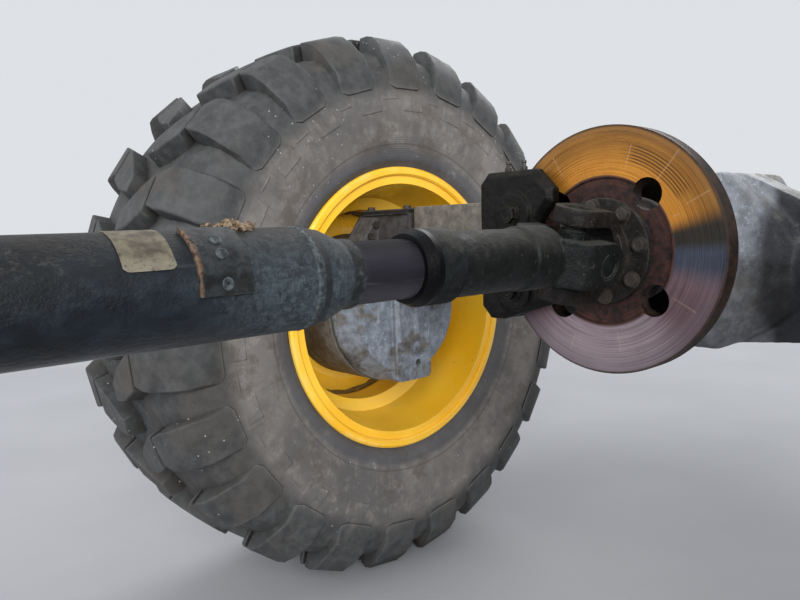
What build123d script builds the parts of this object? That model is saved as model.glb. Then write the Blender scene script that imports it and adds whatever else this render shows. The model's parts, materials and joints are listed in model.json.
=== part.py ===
from build123d import *
from math import cos, radians, sin, tan
import os

# Driven portal axle of a compact wheel loader, with both wheels, the pinion's brake disc
# and calliper, and the propeller shaft with its slip joint and two universal joints.
# Millimetres. Origin: centre of the frame pads' top faces. +X forward, +Y left, +Z up.

os.makedirs("parts", exist_ok=True)

# Main axes, each measured from the one before it
pinion_drop = 70.0  # top of the frame pads down to the pinion and shaft axis
hypoid_offset = 36.0  # pinion axis down to the half-shaft axis
portal_drop = 92.0  # half-shaft axis down to the wheel axis
half_track = 767.0  # middle of the axle out to the middle of a wheel

# Fits and clearances
running_fit = 0.05  # radial, shaft turning or sliding in its bore
seal_gap = 0.3  # radial, where a turning hub passes a seal
seat_gap = 0.3  # between faces of different bodies that all but touch
moving_gap = 5.0  # between moving pieces that pass each other

# Frame pads and beams
pad_length = 144.0
pad_width = 152.0
pad_thick = 53.0
pad_case_gap = 7.0  # between a pad and the drop-gear case beside it
pad_web = 68.0  # width of the web under the pad
pad_hole_radius = 13.0
pad_hole_pitch_x = 100.0
pad_hole_pitch_y = 100.0
pad_edge_round = 8.0
beam_radius = 50.0
beam_flange_radius = 78.0
beam_flange_thick = 16.0
beam_inner = 214.0

# Centre housing
housing_half_width = 66.0  # middle stretch of full section
housing_length = 262.0
housing_height = 216.0
housing_rise = 17.0  # half-shaft axis up to the middle of the full section
housing_round = 46.0
housing_neck = 104.0  # square section towards a beam
housing_neck_round = 46.0
housing_neck_start = 134.0
housing_boss_depth = 64.0  # of the round bosses under the cover and the nose
gusset_width = 60.0
gusset_reach = 150.0  # middle of the axle out to the bend of the lower gusset
gusset_rise = 7.0
cover_radius = 100.0
cover_flange_thick = 14.0
cover_depth = 46.0
cover_dome_radius = 86.0
cover_dome_taper = 28.0
cover_dome_round = 12.0
nose_neck_radius = 62.0
nose_foot_radius = 84.0
nose_foot_thick = 11.0
nose_flare = 14.0  # length of the cone from the foot to the neck
nose_front = 56.0  # from the disc's rear face
nose_back = 111.0

# Brake disc
disc_radius = 140.0
disc_thick = 25.0
disc_web_radius = 82.4
disc_web_recess_rear = 3.0
disc_web_recess_front = 4.0
disc_hole_radius = 17.5
disc_hole_circle = 81.3
disc_hole_phase = 49.3  # from -Y towards +Z
disc_edge_chamfer = 1.5

# Flanges of the propeller shaft: eight holes on a 101.5 mm circle
flange_radius = 60.0
flange_thick = 10.0
flange_hub_radius = 36.0
flange_bolt_count = 8
flange_bolt_circle = 50.75
flange_bolt_radius = 5.0
flange_hole_clearance = 0.25
stack_hole_clearance = 0.5  # in the three pieces that the pinion's bolts clamp
flange_pilot_radius = 37.5
flange_pilot_depth = 2.5
bolt_head_radius = 8.5
bolt_head_height = 7.0
companion_thick = 12.0
companion_setback = 1.0  # of the pilot's end behind the disc's rear face
companion_hub_radius = 34.0
companion_hub_end = 66.0  # from the disc's rear face

# Universal joints
joint_phase = 14.0  # turn of the slip yoke's pin below the -Y direction
joint_reach = 69.0  # flange face to the middle of the cross
ear_radius = 24.0
ear_inner = 33.0
ear_outer = 51.0
fork_floor = 46.0  # middle of the cross to the hub's face
fork_shoulder = 56.0  # middle of the cross to where the fork meets the hub
fork_throat = 12.0  # length of the slope from the floor to an ear's inner face
fork_throat_rise = 16.0
fork_round = 18.0
cup_radius = 15.0
cup_inner = 31.0
cup_outer = 49.0
cup_floor = 2.0
trunnion_radius = 11.0
trunnion_shoulder_radius = 14.0
trunnion_shoulder_end = 27.0
cross_body_radius = 19.0

# Slip joint and tube: places along the shaft are measured back from the disc's rear face
sleeve_radius = 30.0
sleeve_root_radius = 32.5
sleeve_root_bevel = 6.0
sleeve_root_end = 158.0
sleeve_root_step = 3.0
sleeve_end = 260.0
sleeve_bore_floor = 122.0
seal_radius = 33.5
seal_length = 46.0
seal_bevel = 3.0
seal_tail = 10.0
seal_tail_fall = 4.0
spline_radius = 25.2
spline_start = 165.0
neck_start = 368.0
neck_collar_radius = 27.5
neck_bevel = 1.0
neck_taper_start = 379.0
neck_taper_end = 399.0
neck_shoulder_radius = 35.5
tube_radius = 38.0
tube_wall = 3.5
tube_start = 418.0
tube_spigot = 14.0
tube_yoke_length = 80.0  # middle of the far cross to the tube's end
weld_groove = 2.5
joint_spacing = 860.0  # from one cross to the other
plate_start = 473.0
plate_length = 36.0
plate_arc = 78.0  # degrees round the tube
plate_phase = 34.0  # of its middle, from -Y towards +Z
plate_thick = 3.0

# Brake calliper, standing on the +Y side of the disc
calliper_inner = 49.0
calliper_bridge = 14.0  # thickness outside the disc's edge
calliper_top = 98.0
calliper_bottom = 84.0
calliper_corner = 14.0
calliper_top_cut = 24.0  # corner cut off beside the shaft, above
calliper_foot = 34.0  # width of the level stretch underneath
calliper_bottom_cut = 40.0  # rise of the slope from there to the shaft's axis
calliper_bite_radius = 76.0
calliper_rear_depth = 31.0
calliper_rear_bevel = 7.0
calliper_front_depth = 62.0
calliper_boss_radius = 26.0
calliper_boss_angle = 24.0
calliper_boss_circle = 112.0
calliper_boss_length = 5.0
brake_lining_inner = 92.0
brake_lining_outer = 134.0
brake_lining_angle = 30.0
brake_lining_thick = 11.7
bracket_thick = 16.0
bracket_ring_radius = 86.0
bracket_reach = 136.0
bracket_arm_half_width = 46.0

# Drop-gear cases: depths are measured inwards from the case's outer face
case_inset = 133.0  # middle of a wheel in to the case's outer face
case_width = 134.0
case_half_width = 72.0
case_lid_drop = 2.0  # the lid's top below the pad plane
case_lid_thick = 10.0
case_lid_overhang = 6.0
case_apron_depth = 44.0
case_apron_half_width = 138.0
case_apron_rise = 46.0  # wheel axis up to the end of the full width
case_apron_shoulder = 99.0  # wheel axis up to where the full width starts
bell_depth = 45.0
bell_front_radius = 126.0
bell_radius = 150.0
case_foot_x = 3.0
case_foot_half_width = 47.0
case_foot_drop = 144.0
case_foot_rise = 10.0  # how far the foot stands proud of the bell
case_foot_round = 12.0
case_ear_x = 15.0
case_ear_drop = 111.0
case_ear_hole_radius = 7.0
case_ear_hole_depth = 24.0
case_rib_thick = 7.0
case_rib_rise = 5.0
case_rib_length = 156.0
case_rib_places = (-43.0, -12.0, 36.0)
cover_plate_thick = 11.0
spindle_radius = 62.0
spindle_length = 95.0

# Hubs and wheels: places are measured outwards from the middle of the wheel
drum_radius = 152.0
disc_seat = 12.0  # where the wheel's disc bears on the hub
wheel_disc_thick = 14.0
wheel_disc_rise = 18.0  # from the seat out to the disc's edge
hub_pilot_radius = 110.0
hub_pilot_end = 66.0
hub_cap_radius = 84.0
hub_cap_end = 82.0
stud_circle = 137.5
stud_count = 8
stud_radius = 10.0
stud_length = 46.0
stud_hole_clearance = 1.0
rim_half_width = 165.0
rim_seat_radius = 254.0
rim_seat_angle = 12.0  # cone of both seats
rim_flange_height = 27.0
rim_well_depth = 46.0
rim_well_inboard = 48.0
rim_well_outboard = 80.0
rim_slope = 13.0
rim_thick = 6.0
rim_weld = 1.0  # how far the wheel's disc is fused into the rim
bead_toe = 132.0
# Section of a rolled lip: past the rim's half width, below the flange's top
rim_lip = [
    (0, 8),
    (2, 3),
    (6, 0),
    (10, 1),
    (13, 5),
    (13, 14),
    (10, 17),
    (6, 18),
]

# Tyre sections: across from the middle of the wheel, height over the rim's seat
tyre_outer = [
    (165, 0),
    (165, 24),
    (181, 38),
    (202.5, 112),
    (195, 182),
    (122, 251),
]
tyre_inner = [
    (0, 232),
    (130, 226),
    (180, 150),
    (178, 104),
    (140, 24),
]
# Section of one lug
lug_section = [
    (8, 244),
    (8, 278),
    (148, 278),
    (186, 232),
    (200, 192),
    (150, 200),
]
lug_count = 23  # each side
lug_width = 76.0  # along the tread
lug_skew = 18.0  # degrees from straight across the tread
lug_pivot = 125.0  # across, where a lug lies on the radius that its angle names

# Places worked out from these
pinion_z = -pinion_drop
half_shaft_z = pinion_z - hypoid_offset
wheel_z = half_shaft_z - portal_drop
disc_x = -housing_length / 2 - nose_back
case_outer = half_track - case_inset
case_inner = case_outer - case_width
case_apron_start = case_outer - case_apron_depth
bell_front = case_outer - bell_depth
case_foot_front = bell_front - case_foot_rise
pad_middle = case_inner - pad_case_gap - pad_width / 2
calliper_outer = disc_radius + moving_gap + calliper_bridge
housing_middle = half_shaft_z + housing_rise
housing_top = housing_middle + housing_height / 2
housing_bottom = housing_middle - housing_height / 2
nose_foot_start = nose_back - nose_foot_thick
nose_neck_end = nose_foot_start - nose_flare
disc_web_front = disc_thick - disc_web_recess_front
near_cross_x = disc_x + disc_web_recess_rear - joint_reach
far_cross_x = near_cross_x - joint_spacing
near_centre = Vector(near_cross_x, 0, pinion_z)
far_centre = Vector(far_cross_x, 0, pinion_z)
slip_pin = Vector(0, -cos(radians(joint_phase)), -sin(radians(joint_phase)))
flange_pin = Vector(0, -sin(radians(joint_phase)), cos(radians(joint_phase)))
forward = Vector(1, 0, 0)
backward = Vector(-1, 0, 0)
first_bolt_angle = 90 + joint_phase + 180 / flange_bolt_count
sleeve_start = near_cross_x - disc_x - fork_floor
seal_end = sleeve_end + seal_length
far_hub_start = far_cross_x - disc_x + fork_floor
tube_end = disc_x - far_cross_x - tube_yoke_length
plate_end = plate_start + plate_length
case_top = -case_lid_drop - case_lid_thick
drum_start = cover_plate_thick + moving_gap - case_inset
spindle_pocket = drum_start + spindle_length
rim_flange_radius = rim_seat_radius + rim_flange_height
rim_well_radius = rim_seat_radius - rim_well_depth
bead_fall = (rim_half_width - bead_toe) * tan(radians(rim_seat_angle))
tyre_half_width = max(across for across, height in tyre_outer)
tyre_reach = rim_seat_radius + lug_width + max(height for across, height in lug_section)


def station(reach):
    """Plane across the shaft, this far in front of the disc's rear face (negative is behind it)."""
    return Plane(origin=(disc_x + reach, 0, pinion_z), x_dir=(0, 1, 0), z_dir=(1, 0, 0))


def shaft_section():
    """Plane that holds the shaft's axis: x forward from the disc's rear face, y upward."""
    return Plane(origin=(disc_x, 0, pinion_z), x_dir=(1, 0, 0), z_dir=(0, -1, 0))


def shaft_axis():
    return Axis((disc_x, 0, pinion_z), (1, 0, 0))


def turned(points):
    """Revolve a closed outline of (distance from the disc, radius) round the shaft's axis."""
    with BuildSketch(shaft_section()) as section:
        Polygon(*points, align=None)
    revolve(section.sketch, axis=shaft_axis())


def fork(centre, shank, pin):
    """The two ears of a yoke round a cross: shank points to the yoke's own hub."""
    waist = fork_floor - fork_throat
    with BuildSketch(Plane(origin=centre, x_dir=shank, z_dir=pin.cross(shank))) as side:
        Polygon(
            (-ear_radius, ear_outer),
            (waist, ear_outer),
            (fork_shoulder, sleeve_radius),
            (fork_shoulder, -sleeve_radius),
            (waist, -ear_outer),
            (-ear_radius, -ear_outer),
            (-ear_radius, -ear_inner),
            (waist, -ear_inner),
            (fork_floor, -ear_inner + fork_throat_rise),
            (fork_floor, ear_inner - fork_throat_rise),
            (waist, ear_inner),
            (-ear_radius, ear_inner),
            align=None,
        )
        fillet(side.vertices().group_by(Axis.X)[1], fork_round)
    with BuildSketch(Plane(origin=centre, x_dir=shank, z_dir=pin)) as outline:
        Circle(ear_radius)
        with Locations((fork_shoulder / 2, 0)):
            Rectangle(fork_shoulder, 2 * ear_radius)
        Circle(cup_radius, mode=Mode.SUBTRACT)
    with BuildPart(mode=Mode.PRIVATE) as ears:
        extrude(side.sketch, amount=ear_radius, both=True)
        extrude(outline.sketch, amount=ear_outer, both=True, mode=Mode.INTERSECT)
    add(ears.part)


def flange_plate(centre, outward, pin, clearance):
    """A yoke's bolting flange, with its pilot recess; outward points from the cross to its face."""
    face = Plane(origin=centre + outward * joint_reach, x_dir=pin, z_dir=outward)
    with BuildSketch(face) as plate:
        Circle(flange_radius)
    extrude(plate.sketch, amount=-flange_thick)
    with BuildSketch(face) as boss:
        Circle(flange_hub_radius)
    extrude(boss.sketch, amount=-(joint_reach - fork_floor))
    with BuildSketch(face) as pilot:
        Circle(flange_pilot_radius)
    extrude(pilot.sketch, amount=-flange_pilot_depth, mode=Mode.SUBTRACT)
    with BuildSketch(face) as holes:
        with PolarLocations(flange_bolt_circle, flange_bolt_count, start_angle=180 / flange_bolt_count):
            Circle(flange_bolt_radius + clearance)
    extrude(holes.sketch, amount=-flange_thick, mode=Mode.SUBTRACT)


def bearing_cups(centre, pin):
    """Two needle cups, closed at their outer ends, pressed into a yoke's ears."""
    for side in (pin, -pin):
        seat = Plane(origin=centre + side * cup_inner, z_dir=side)
        with BuildSketch(seat) as cup:
            Circle(cup_radius)
        extrude(cup.sketch, amount=cup_outer - cup_inner)
        with BuildSketch(seat) as bore:
            Circle(trunnion_radius + running_fit)
        extrude(bore.sketch, amount=cup_outer - cup_inner - cup_floor, mode=Mode.SUBTRACT)


def cross(centre):
    """The spider between two yokes: four trunnions with shoulders on a round body."""
    for pin in (slip_pin, flange_pin):
        seat = Plane(origin=centre, z_dir=pin)
        with BuildSketch(seat) as trunnion:
            Circle(trunnion_radius)
        extrude(trunnion.sketch, amount=cup_outer - cup_floor - seat_gap, both=True)
        with BuildSketch(seat) as shoulder:
            Circle(trunnion_shoulder_radius)
        extrude(shoulder.sketch, amount=trunnion_shoulder_end, both=True)
    with BuildSketch(Plane(origin=centre, x_dir=slip_pin, z_dir=forward)) as body:
        Circle(cross_body_radius)
    extrude(body.sketch, amount=trunnion_shoulder_radius, both=True)


def bolt_holes(depth):
    """The flange bolts' holes through a piece on the pinion, this deep from the disc's rear face."""
    with BuildSketch(station(0)) as holes:
        with PolarLocations(flange_bolt_circle, flange_bolt_count, start_angle=first_bolt_angle):
            Circle(flange_bolt_radius + stack_hole_clearance)
    extrude(holes.sketch, amount=depth, mode=Mode.SUBTRACT)


def direction(angle, radius):
    """Point of a shaft station at this angle from -Y towards +Z."""
    return (-radius * cos(radians(angle)), radius * sin(radians(angle)))


def outboard(reach):
    """Upright plane across the axle: x to the rear, y up, facing away from the middle."""
    return Plane(origin=(0, reach, 0), x_dir=(-1, 0, 0), z_dir=(0, 1, 0))


def wheel_turned(points, middle=half_track):
    """Revolve a closed outline of (distance outboard of the middle, radius) round the wheel axis."""
    with BuildSketch(Plane(origin=(0, middle, wheel_z), x_dir=(0, 1, 0), z_dir=(1, 0, 0))) as section:
        Polygon(*points, align=None)
    revolve(section.sketch, axis=Axis((0, 0, wheel_z), (0, 1, 0)))


def save(piece, name):
    piece.label = name
    export_step(piece, f"parts/{name}.step")


def save_pair(piece, name):
    save(piece, f"{name}_left")
    save(mirror(piece, about=Plane.XZ), f"{name}_right")


# Centre housing: a square casting that narrows to two flanged necks, with a gusset above and below each
def housing_section():
    with Locations((0, housing_middle)):
        RectangleRounded(housing_length, housing_height, housing_round)


def neck_section():
    with Locations((0, half_shaft_z)):
        RectangleRounded(housing_neck, housing_neck, housing_neck_round)


cover_seat = Plane(origin=(housing_length / 2, 0, housing_middle), x_dir=(0, 1, 0), z_dir=(1, 0, 0))
with BuildPart() as centre_housing:
    with BuildSketch(outboard(0)):
        housing_section()
    extrude(amount=housing_half_width, both=True)
    for side in (1, -1):
        with BuildSketch(outboard(side * housing_half_width)):
            housing_section()
        with BuildSketch(outboard(side * housing_neck_start)):
            neck_section()
        loft(ruled=True)
        with BuildSketch(outboard(side * housing_neck_start)):
            neck_section()
        extrude(amount=side * (beam_inner - housing_neck_start))
        with BuildSketch(outboard(side * beam_inner)):
            with Locations((0, half_shaft_z)):
                Circle(beam_flange_radius)
        extrude(amount=-side * beam_flange_thick)
        flange_face = beam_inner - beam_flange_thick
        with BuildSketch(Plane.YZ):
            Polygon(
                (0, housing_top),
                (side * housing_half_width, housing_top),
                (side * flange_face, half_shaft_z + housing_neck / 2),
                (side * flange_face, half_shaft_z - housing_neck / 2),
                (side * gusset_reach, housing_bottom + gusset_rise),
                (side * housing_half_width, housing_bottom),
                (0, housing_bottom),
                align=None,
            )
        extrude(amount=gusset_width / 2, both=True)
    with BuildSketch(cover_seat):
        Circle(cover_radius)
    extrude(amount=-housing_boss_depth)
    with BuildSketch(station(nose_back)):
        Circle(nose_foot_radius)
    extrude(amount=housing_boss_depth)
save(centre_housing.part, "centre_housing")

# Round cover on the housing's front face
with BuildPart() as housing_cover:
    with BuildSketch(cover_seat):
        Circle(cover_radius)
    extrude(amount=cover_flange_thick)
    with BuildSketch(cover_seat.offset(cover_flange_thick)):
        Circle(cover_dome_radius)
    extrude(amount=cover_depth - cover_flange_thick, taper=cover_dome_taper)
    fillet(housing_cover.faces().sort_by(Axis.X)[-1].edges(), cover_dome_round)
save(housing_cover.part, "housing_cover")

# Pinion nose: neck and foot in one casting, its mouth round the companion flange's hub
with BuildPart() as pinion_nose:
    turned([
        (nose_front, companion_hub_radius + seal_gap),
        (nose_front, nose_neck_radius),
        (nose_neck_end, nose_neck_radius),
        (nose_foot_start, nose_foot_radius),
        (nose_back, nose_foot_radius),
        (nose_back, 0),
        (companion_hub_end + seal_gap, 0),
        (companion_hub_end + seal_gap, companion_hub_radius + seal_gap),
    ])
save(pinion_nose.part, "pinion_nose")

# Beams with their frame pads
with BuildPart() as axle_beam:
    with BuildSketch(outboard(beam_inner)):
        with Locations((0, half_shaft_z)):
            Circle(beam_radius)
    extrude(amount=case_inner - beam_inner)
    with BuildSketch(outboard(beam_inner)):
        with Locations((0, half_shaft_z)):
            Circle(beam_flange_radius)
    extrude(amount=beam_flange_thick)
    with BuildSketch(Plane.XY):
        with Locations((0, pad_middle)):
            RectangleRounded(pad_length, pad_width, pad_edge_round)
    extrude(amount=-pad_thick)
    with BuildSketch(Plane.XY.offset(-pad_thick)):
        with Locations((0, pad_middle)):
            Rectangle(pad_web, pad_width - 2 * pad_edge_round)
    extrude(amount=half_shaft_z + pad_thick)
    with BuildSketch(Plane.XY):
        with Locations((0, pad_middle)):
            with GridLocations(pad_hole_pitch_x, pad_hole_pitch_y, 2, 2):
                Circle(pad_hole_radius)
    extrude(amount=-pad_thick, mode=Mode.SUBTRACT)
save_pair(axle_beam.part, "axle_beam")


# Drop-gear cases: a box round the upper gear and a bell round the lower one
def case_outline():
    with Locations((0, (case_top + half_shaft_z) / 2)):
        Rectangle(2 * case_half_width, case_top - half_shaft_z)
    with Locations((0, half_shaft_z)):
        Circle(case_half_width)


def case_apron():
    Polygon(
        (-case_half_width, case_top),
        (case_half_width, case_top),
        (case_apron_half_width, wheel_z + case_apron_shoulder),
        (case_apron_half_width, wheel_z + case_apron_rise),
        (-case_apron_half_width, wheel_z + case_apron_rise),
        (-case_apron_half_width, wheel_z + case_apron_shoulder),
        align=None,
    )


with BuildPart() as drop_case:
    with BuildSketch(outboard(case_inner)):
        case_outline()
    extrude(amount=case_outer - case_inner)
    with BuildSketch(outboard(case_apron_start)):
        case_apron()
    extrude(amount=case_outer - case_apron_start)
    wheel_turned([
        (bell_front, 0),
        (bell_front, bell_front_radius),
        (case_outer, bell_radius),
        (case_outer, 0),
    ], middle=0)
    foot_height = half_shaft_z - wheel_z + case_foot_drop
    with BuildSketch(outboard(case_foot_front)) as foot:
        with Locations((-case_foot_x, half_shaft_z - foot_height / 2)):
            Rectangle(2 * case_foot_half_width, foot_height)
        fillet(foot.vertices().group_by(Axis.Y)[0], case_foot_round)
    extrude(amount=case_outer - case_foot_front)
    with BuildSketch(outboard(case_foot_front - case_rib_rise)):
        with Locations(*[(x, half_shaft_z - case_rib_length / 2) for x in case_rib_places]):
            Rectangle(case_rib_thick, case_rib_length)
    extrude(amount=2 * case_rib_rise)
    with BuildSketch(outboard(case_foot_front)):
        with Locations((-case_ear_x, wheel_z - case_ear_drop)):
            Circle(case_ear_hole_radius)
    extrude(amount=case_ear_hole_depth, mode=Mode.SUBTRACT)
save_pair(drop_case.part, "drop_case")

# Lids on the cases' tops
with BuildPart() as case_lid:
    with BuildSketch(Plane.XY.offset(case_top)):
        with Locations((0, (case_inner + case_outer) / 2)):
            RectangleRounded(2 * (case_half_width + case_lid_overhang), case_width, pad_edge_round)
    extrude(amount=case_lid_thick)
save_pair(case_lid.part, "case_lid")

# Outer covers of the cases, with the spindles that carry the hubs
with BuildPart() as drop_cover:
    with BuildSketch(outboard(case_outer)):
        case_apron()
        with Locations((0, wheel_z)):
            Circle(bell_radius)
    extrude(amount=cover_plate_thick)
    with BuildSketch(outboard(case_outer + cover_plate_thick)):
        with Locations((0, wheel_z)):
            Circle(spindle_radius)
    extrude(amount=spindle_length)
save_pair(drop_cover.part, "drop_cover")

# Hubs: inner drum, pilot, cap and studs, turning on the spindles
with BuildPart() as hub:
    wheel_turned([
        (drum_start, spindle_radius + running_fit),
        (drum_start, drum_radius),
        (disc_seat, drum_radius),
        (disc_seat, hub_pilot_radius),
        (hub_pilot_end, hub_pilot_radius),
        (hub_cap_end, hub_cap_radius),
        (hub_cap_end, 0),
        (spindle_pocket, 0),
        (spindle_pocket, spindle_radius + running_fit),
    ])
    with BuildSketch(outboard(half_track + disc_seat)):
        with Locations((0, wheel_z)):
            with PolarLocations(stud_circle, stud_count):
                Circle(stud_radius)
    extrude(amount=stud_length)
save_pair(hub.part, "hub")

# Rims with their welded wheel discs
with BuildPart() as rim:
    inner_wall = rim_half_width + rim_thick
    inner_seat = rim_seat_radius - rim_thick
    inner_well = rim_well_radius - rim_thick
    near_ridge = rim_well_inboard + rim_slope
    far_ridge = rim_well_outboard + rim_slope
    near_fall = (rim_half_width - near_ridge) * tan(radians(rim_seat_angle))
    far_fall = (rim_half_width - far_ridge) * tan(radians(rim_seat_angle))
    lip = [(rim_half_width + past, rim_flange_radius - below) for past, below in rim_lip]
    wheel_turned([(-across, radius) for across, radius in reversed(lip)] + [
        (-rim_half_width, rim_seat_radius),
        (-near_ridge, rim_seat_radius - near_fall),
        (-rim_well_inboard, rim_well_radius),
        (rim_well_outboard, rim_well_radius),
        (far_ridge, rim_seat_radius - far_fall),
        (rim_half_width, rim_seat_radius),
    ] + lip + [
        (inner_wall, inner_seat),
        (far_ridge, inner_seat - far_fall),
        (rim_well_outboard, inner_well),
        (-rim_well_inboard, inner_well),
        (-near_ridge, inner_seat - near_fall),
        (-inner_wall, inner_seat),
    ])
    disc_edge = inner_well - rim_thick
    disc_weld = disc_seat + wheel_disc_rise
    wheel_turned([
        (disc_seat, hub_pilot_radius + seal_gap),
        (disc_seat, drum_radius + wheel_disc_thick),
        (disc_weld, disc_edge),
        (disc_weld, inner_well + rim_weld),
        (disc_weld + wheel_disc_thick, inner_well + rim_weld),
        (disc_weld + wheel_disc_thick, disc_edge),
        (disc_seat + wheel_disc_thick, drum_radius),
        (disc_seat + wheel_disc_thick, hub_pilot_radius + seal_gap),
    ])
    with BuildSketch(outboard(half_track + disc_seat)):
        with Locations((0, wheel_z)):
            with PolarLocations(stud_circle, stud_count):
                Circle(stud_radius + stud_hole_clearance)
    extrude(amount=wheel_disc_thick, mode=Mode.SUBTRACT)
save_pair(rim.part, "rim")


# Tyres: a hollow carcass and two rows of slanting lugs that wrap over the shoulders
def lug(angle, hand):
    """One lug of the row on the outboard (hand 1) or inboard (hand -1) side."""
    radial = Vector(sin(radians(angle)), 0, cos(radians(angle)))
    outwards = Vector(0, hand, 0)
    middle = Vector(0, half_track, wheel_z)
    near_shift = -lug_pivot * tan(radians(lug_skew))
    far_shift = (tyre_half_width - lug_pivot) * tan(radians(lug_skew))
    with BuildSketch(Plane(origin=middle, x_dir=outwards, z_dir=outwards.cross(radial))) as section:
        Polygon(*[(across, rim_seat_radius + height) for across, height in lug_section], align=None)
    with BuildSketch(Plane(origin=middle, x_dir=outwards, z_dir=radial)) as plan:
        Polygon(
            (0, hand * (-near_shift - lug_width / 2)),
            (tyre_half_width, hand * (-far_shift - lug_width / 2)),
            (tyre_half_width, hand * (-far_shift + lug_width / 2)),
            (0, hand * (-near_shift + lug_width / 2)),
            align=None,
        )
    with BuildPart(mode=Mode.PRIVATE) as block:
        extrude(section.sketch, amount=lug_width - near_shift, both=True)
        extrude(plan.sketch, amount=tyre_reach, mode=Mode.INTERSECT)
    add(block.part)


def both_halves(points):
    """Radii from heights over the rim's seat, for both halves of a section that starts at the left edge."""
    raised = [(across, rim_seat_radius + height) for across, height in points]
    return [(-across, radius) for across, radius in raised] + [pair for pair in reversed(raised) if pair[0]]


with BuildPart() as tyre:
    lining = [(bead_toe, -bead_fall)] + tyre_inner[::-1]
    wheel_turned(both_halves(tyre_outer) + both_halves(lining)[::-1])
    for number in range(lug_count):
        lug(360 / lug_count * (number + 0.5), 1)
        lug(360 / lug_count * number, -1)
save_pair(tyre.part, "tyre")

# Brake disc on the pinion
with BuildPart() as brake_disc:
    turned([
        (disc_web_recess_rear, flange_pilot_radius),
        (disc_web_recess_rear, disc_web_radius),
        (0, disc_web_radius),
        (0, disc_radius - disc_edge_chamfer),
        (disc_edge_chamfer, disc_radius),
        (disc_thick - disc_edge_chamfer, disc_radius),
        (disc_thick, disc_radius - disc_edge_chamfer),
        (disc_thick, disc_web_radius),
        (disc_web_front, disc_web_radius),
        (disc_web_front, flange_pilot_radius),
    ])
    with BuildSketch(station(0)):
        with PolarLocations(disc_hole_circle, 4, start_angle=180 - disc_hole_phase):
            Circle(disc_hole_radius)
    extrude(amount=disc_thick, mode=Mode.SUBTRACT)
    bolt_holes(disc_thick)
save(brake_disc.part, "brake_disc")

# Companion flange: carries the disc on its pilot and turns in the nose
with BuildPart() as companion_flange:
    turned([
        (companion_setback, 0),
        (companion_setback, flange_pilot_radius),
        (disc_web_front, flange_pilot_radius),
        (disc_web_front, flange_radius),
        (disc_web_front + companion_thick, flange_radius),
        (disc_web_front + companion_thick, companion_hub_radius),
        (companion_hub_end, companion_hub_radius),
        (companion_hub_end, 0),
    ])
    bolt_holes(disc_web_front + companion_thick)
save(companion_flange.part, "companion_flange")

# Bolts that clamp the flange yoke, the disc and the companion flange together
with BuildPart() as flange_bolts:
    stack_rear = disc_web_recess_rear - flange_thick
    stack_front = disc_web_front + companion_thick
    with BuildSketch(station(stack_rear)):
        with PolarLocations(flange_bolt_circle, flange_bolt_count, start_angle=first_bolt_angle):
            Circle(flange_bolt_radius)
    extrude(amount=stack_front - stack_rear)
    for place, height in ((stack_rear, -bolt_head_height), (stack_front, bolt_head_height)):
        with BuildSketch(station(place)):
            with PolarLocations(flange_bolt_circle, flange_bolt_count, start_angle=first_bolt_angle):
                RegularPolygon(bolt_head_radius, 6)
        extrude(amount=height)
save(flange_bolts.part, "flange_bolts")

# Near joint
with BuildPart() as near_flange_yoke:
    fork(near_centre, forward, flange_pin)
    flange_plate(near_centre, forward, flange_pin, stack_hole_clearance)
save(near_flange_yoke.part, "near_flange_yoke")

with BuildPart() as near_flange_cups:
    bearing_cups(near_centre, flange_pin)
save(near_flange_cups.part, "near_flange_cups")

with BuildPart() as near_cross:
    cross(near_centre)
save(near_cross.part, "near_cross")

with BuildPart() as slip_yoke:
    turned([
        (sleeve_start, 0),
        (sleeve_start, sleeve_radius),
        (sleeve_start - sleeve_root_bevel, sleeve_root_radius),
        (-sleeve_root_end, sleeve_root_radius),
        (-sleeve_root_end - sleeve_root_step, sleeve_radius),
        (-sleeve_end, sleeve_radius),
        (-sleeve_end, spline_radius + running_fit),
        (-sleeve_bore_floor, spline_radius + running_fit),
        (-sleeve_bore_floor, 0),
    ])
    fork(near_centre, backward, slip_pin)
    with BuildSketch(station(-sleeve_end)):
        Circle(spline_radius + running_fit)
    extrude(amount=sleeve_end - sleeve_bore_floor, mode=Mode.SUBTRACT)
save(slip_yoke.part, "slip_yoke")

with BuildPart() as slip_yoke_cups:
    bearing_cups(near_centre, slip_pin)
save(slip_yoke_cups.part, "slip_yoke_cups")

with BuildPart() as seal_ring:
    turned([
        (-sleeve_end, spline_radius + seal_gap),
        (-sleeve_end, seal_radius - seal_bevel),
        (-sleeve_end - seal_bevel, seal_radius),
        (-seal_end + seal_tail, seal_radius),
        (-seal_end, seal_radius - seal_tail_fall),
        (-seal_end, spline_radius + seal_gap),
    ])
save(seal_ring.part, "seal_ring")

# Sliding shaft
with BuildPart() as spline_sleeve:
    with BuildSketch(station(-neck_start)):
        Circle(spline_radius)
    extrude(amount=neck_start - spline_start)
save(spline_sleeve.part, "spline_sleeve")

with BuildPart() as tube_neck:
    turned([
        (-neck_start, 0),
        (-neck_start, neck_collar_radius - neck_bevel),
        (-neck_start - neck_bevel, neck_collar_radius),
        (-neck_taper_start, neck_collar_radius),
        (-neck_taper_end, neck_shoulder_radius),
        (-tube_start + weld_groove, tube_radius),
        (-tube_start, tube_radius - weld_groove),
        (-tube_start, tube_radius - tube_wall),
        (-tube_start - tube_spigot, tube_radius - tube_wall),
        (-tube_start - tube_spigot, 0),
    ])
save(tube_neck.part, "tube_neck")

with BuildPart() as main_tube:
    turned([
        (-tube_start, tube_radius - tube_wall),
        (-tube_start, tube_radius - weld_groove),
        (-tube_start - weld_groove, tube_radius),
        (-tube_end + weld_groove, tube_radius),
        (-tube_end, tube_radius - weld_groove),
        (-tube_end, tube_radius - tube_wall),
    ])
save(main_tube.part, "main_tube")

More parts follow.
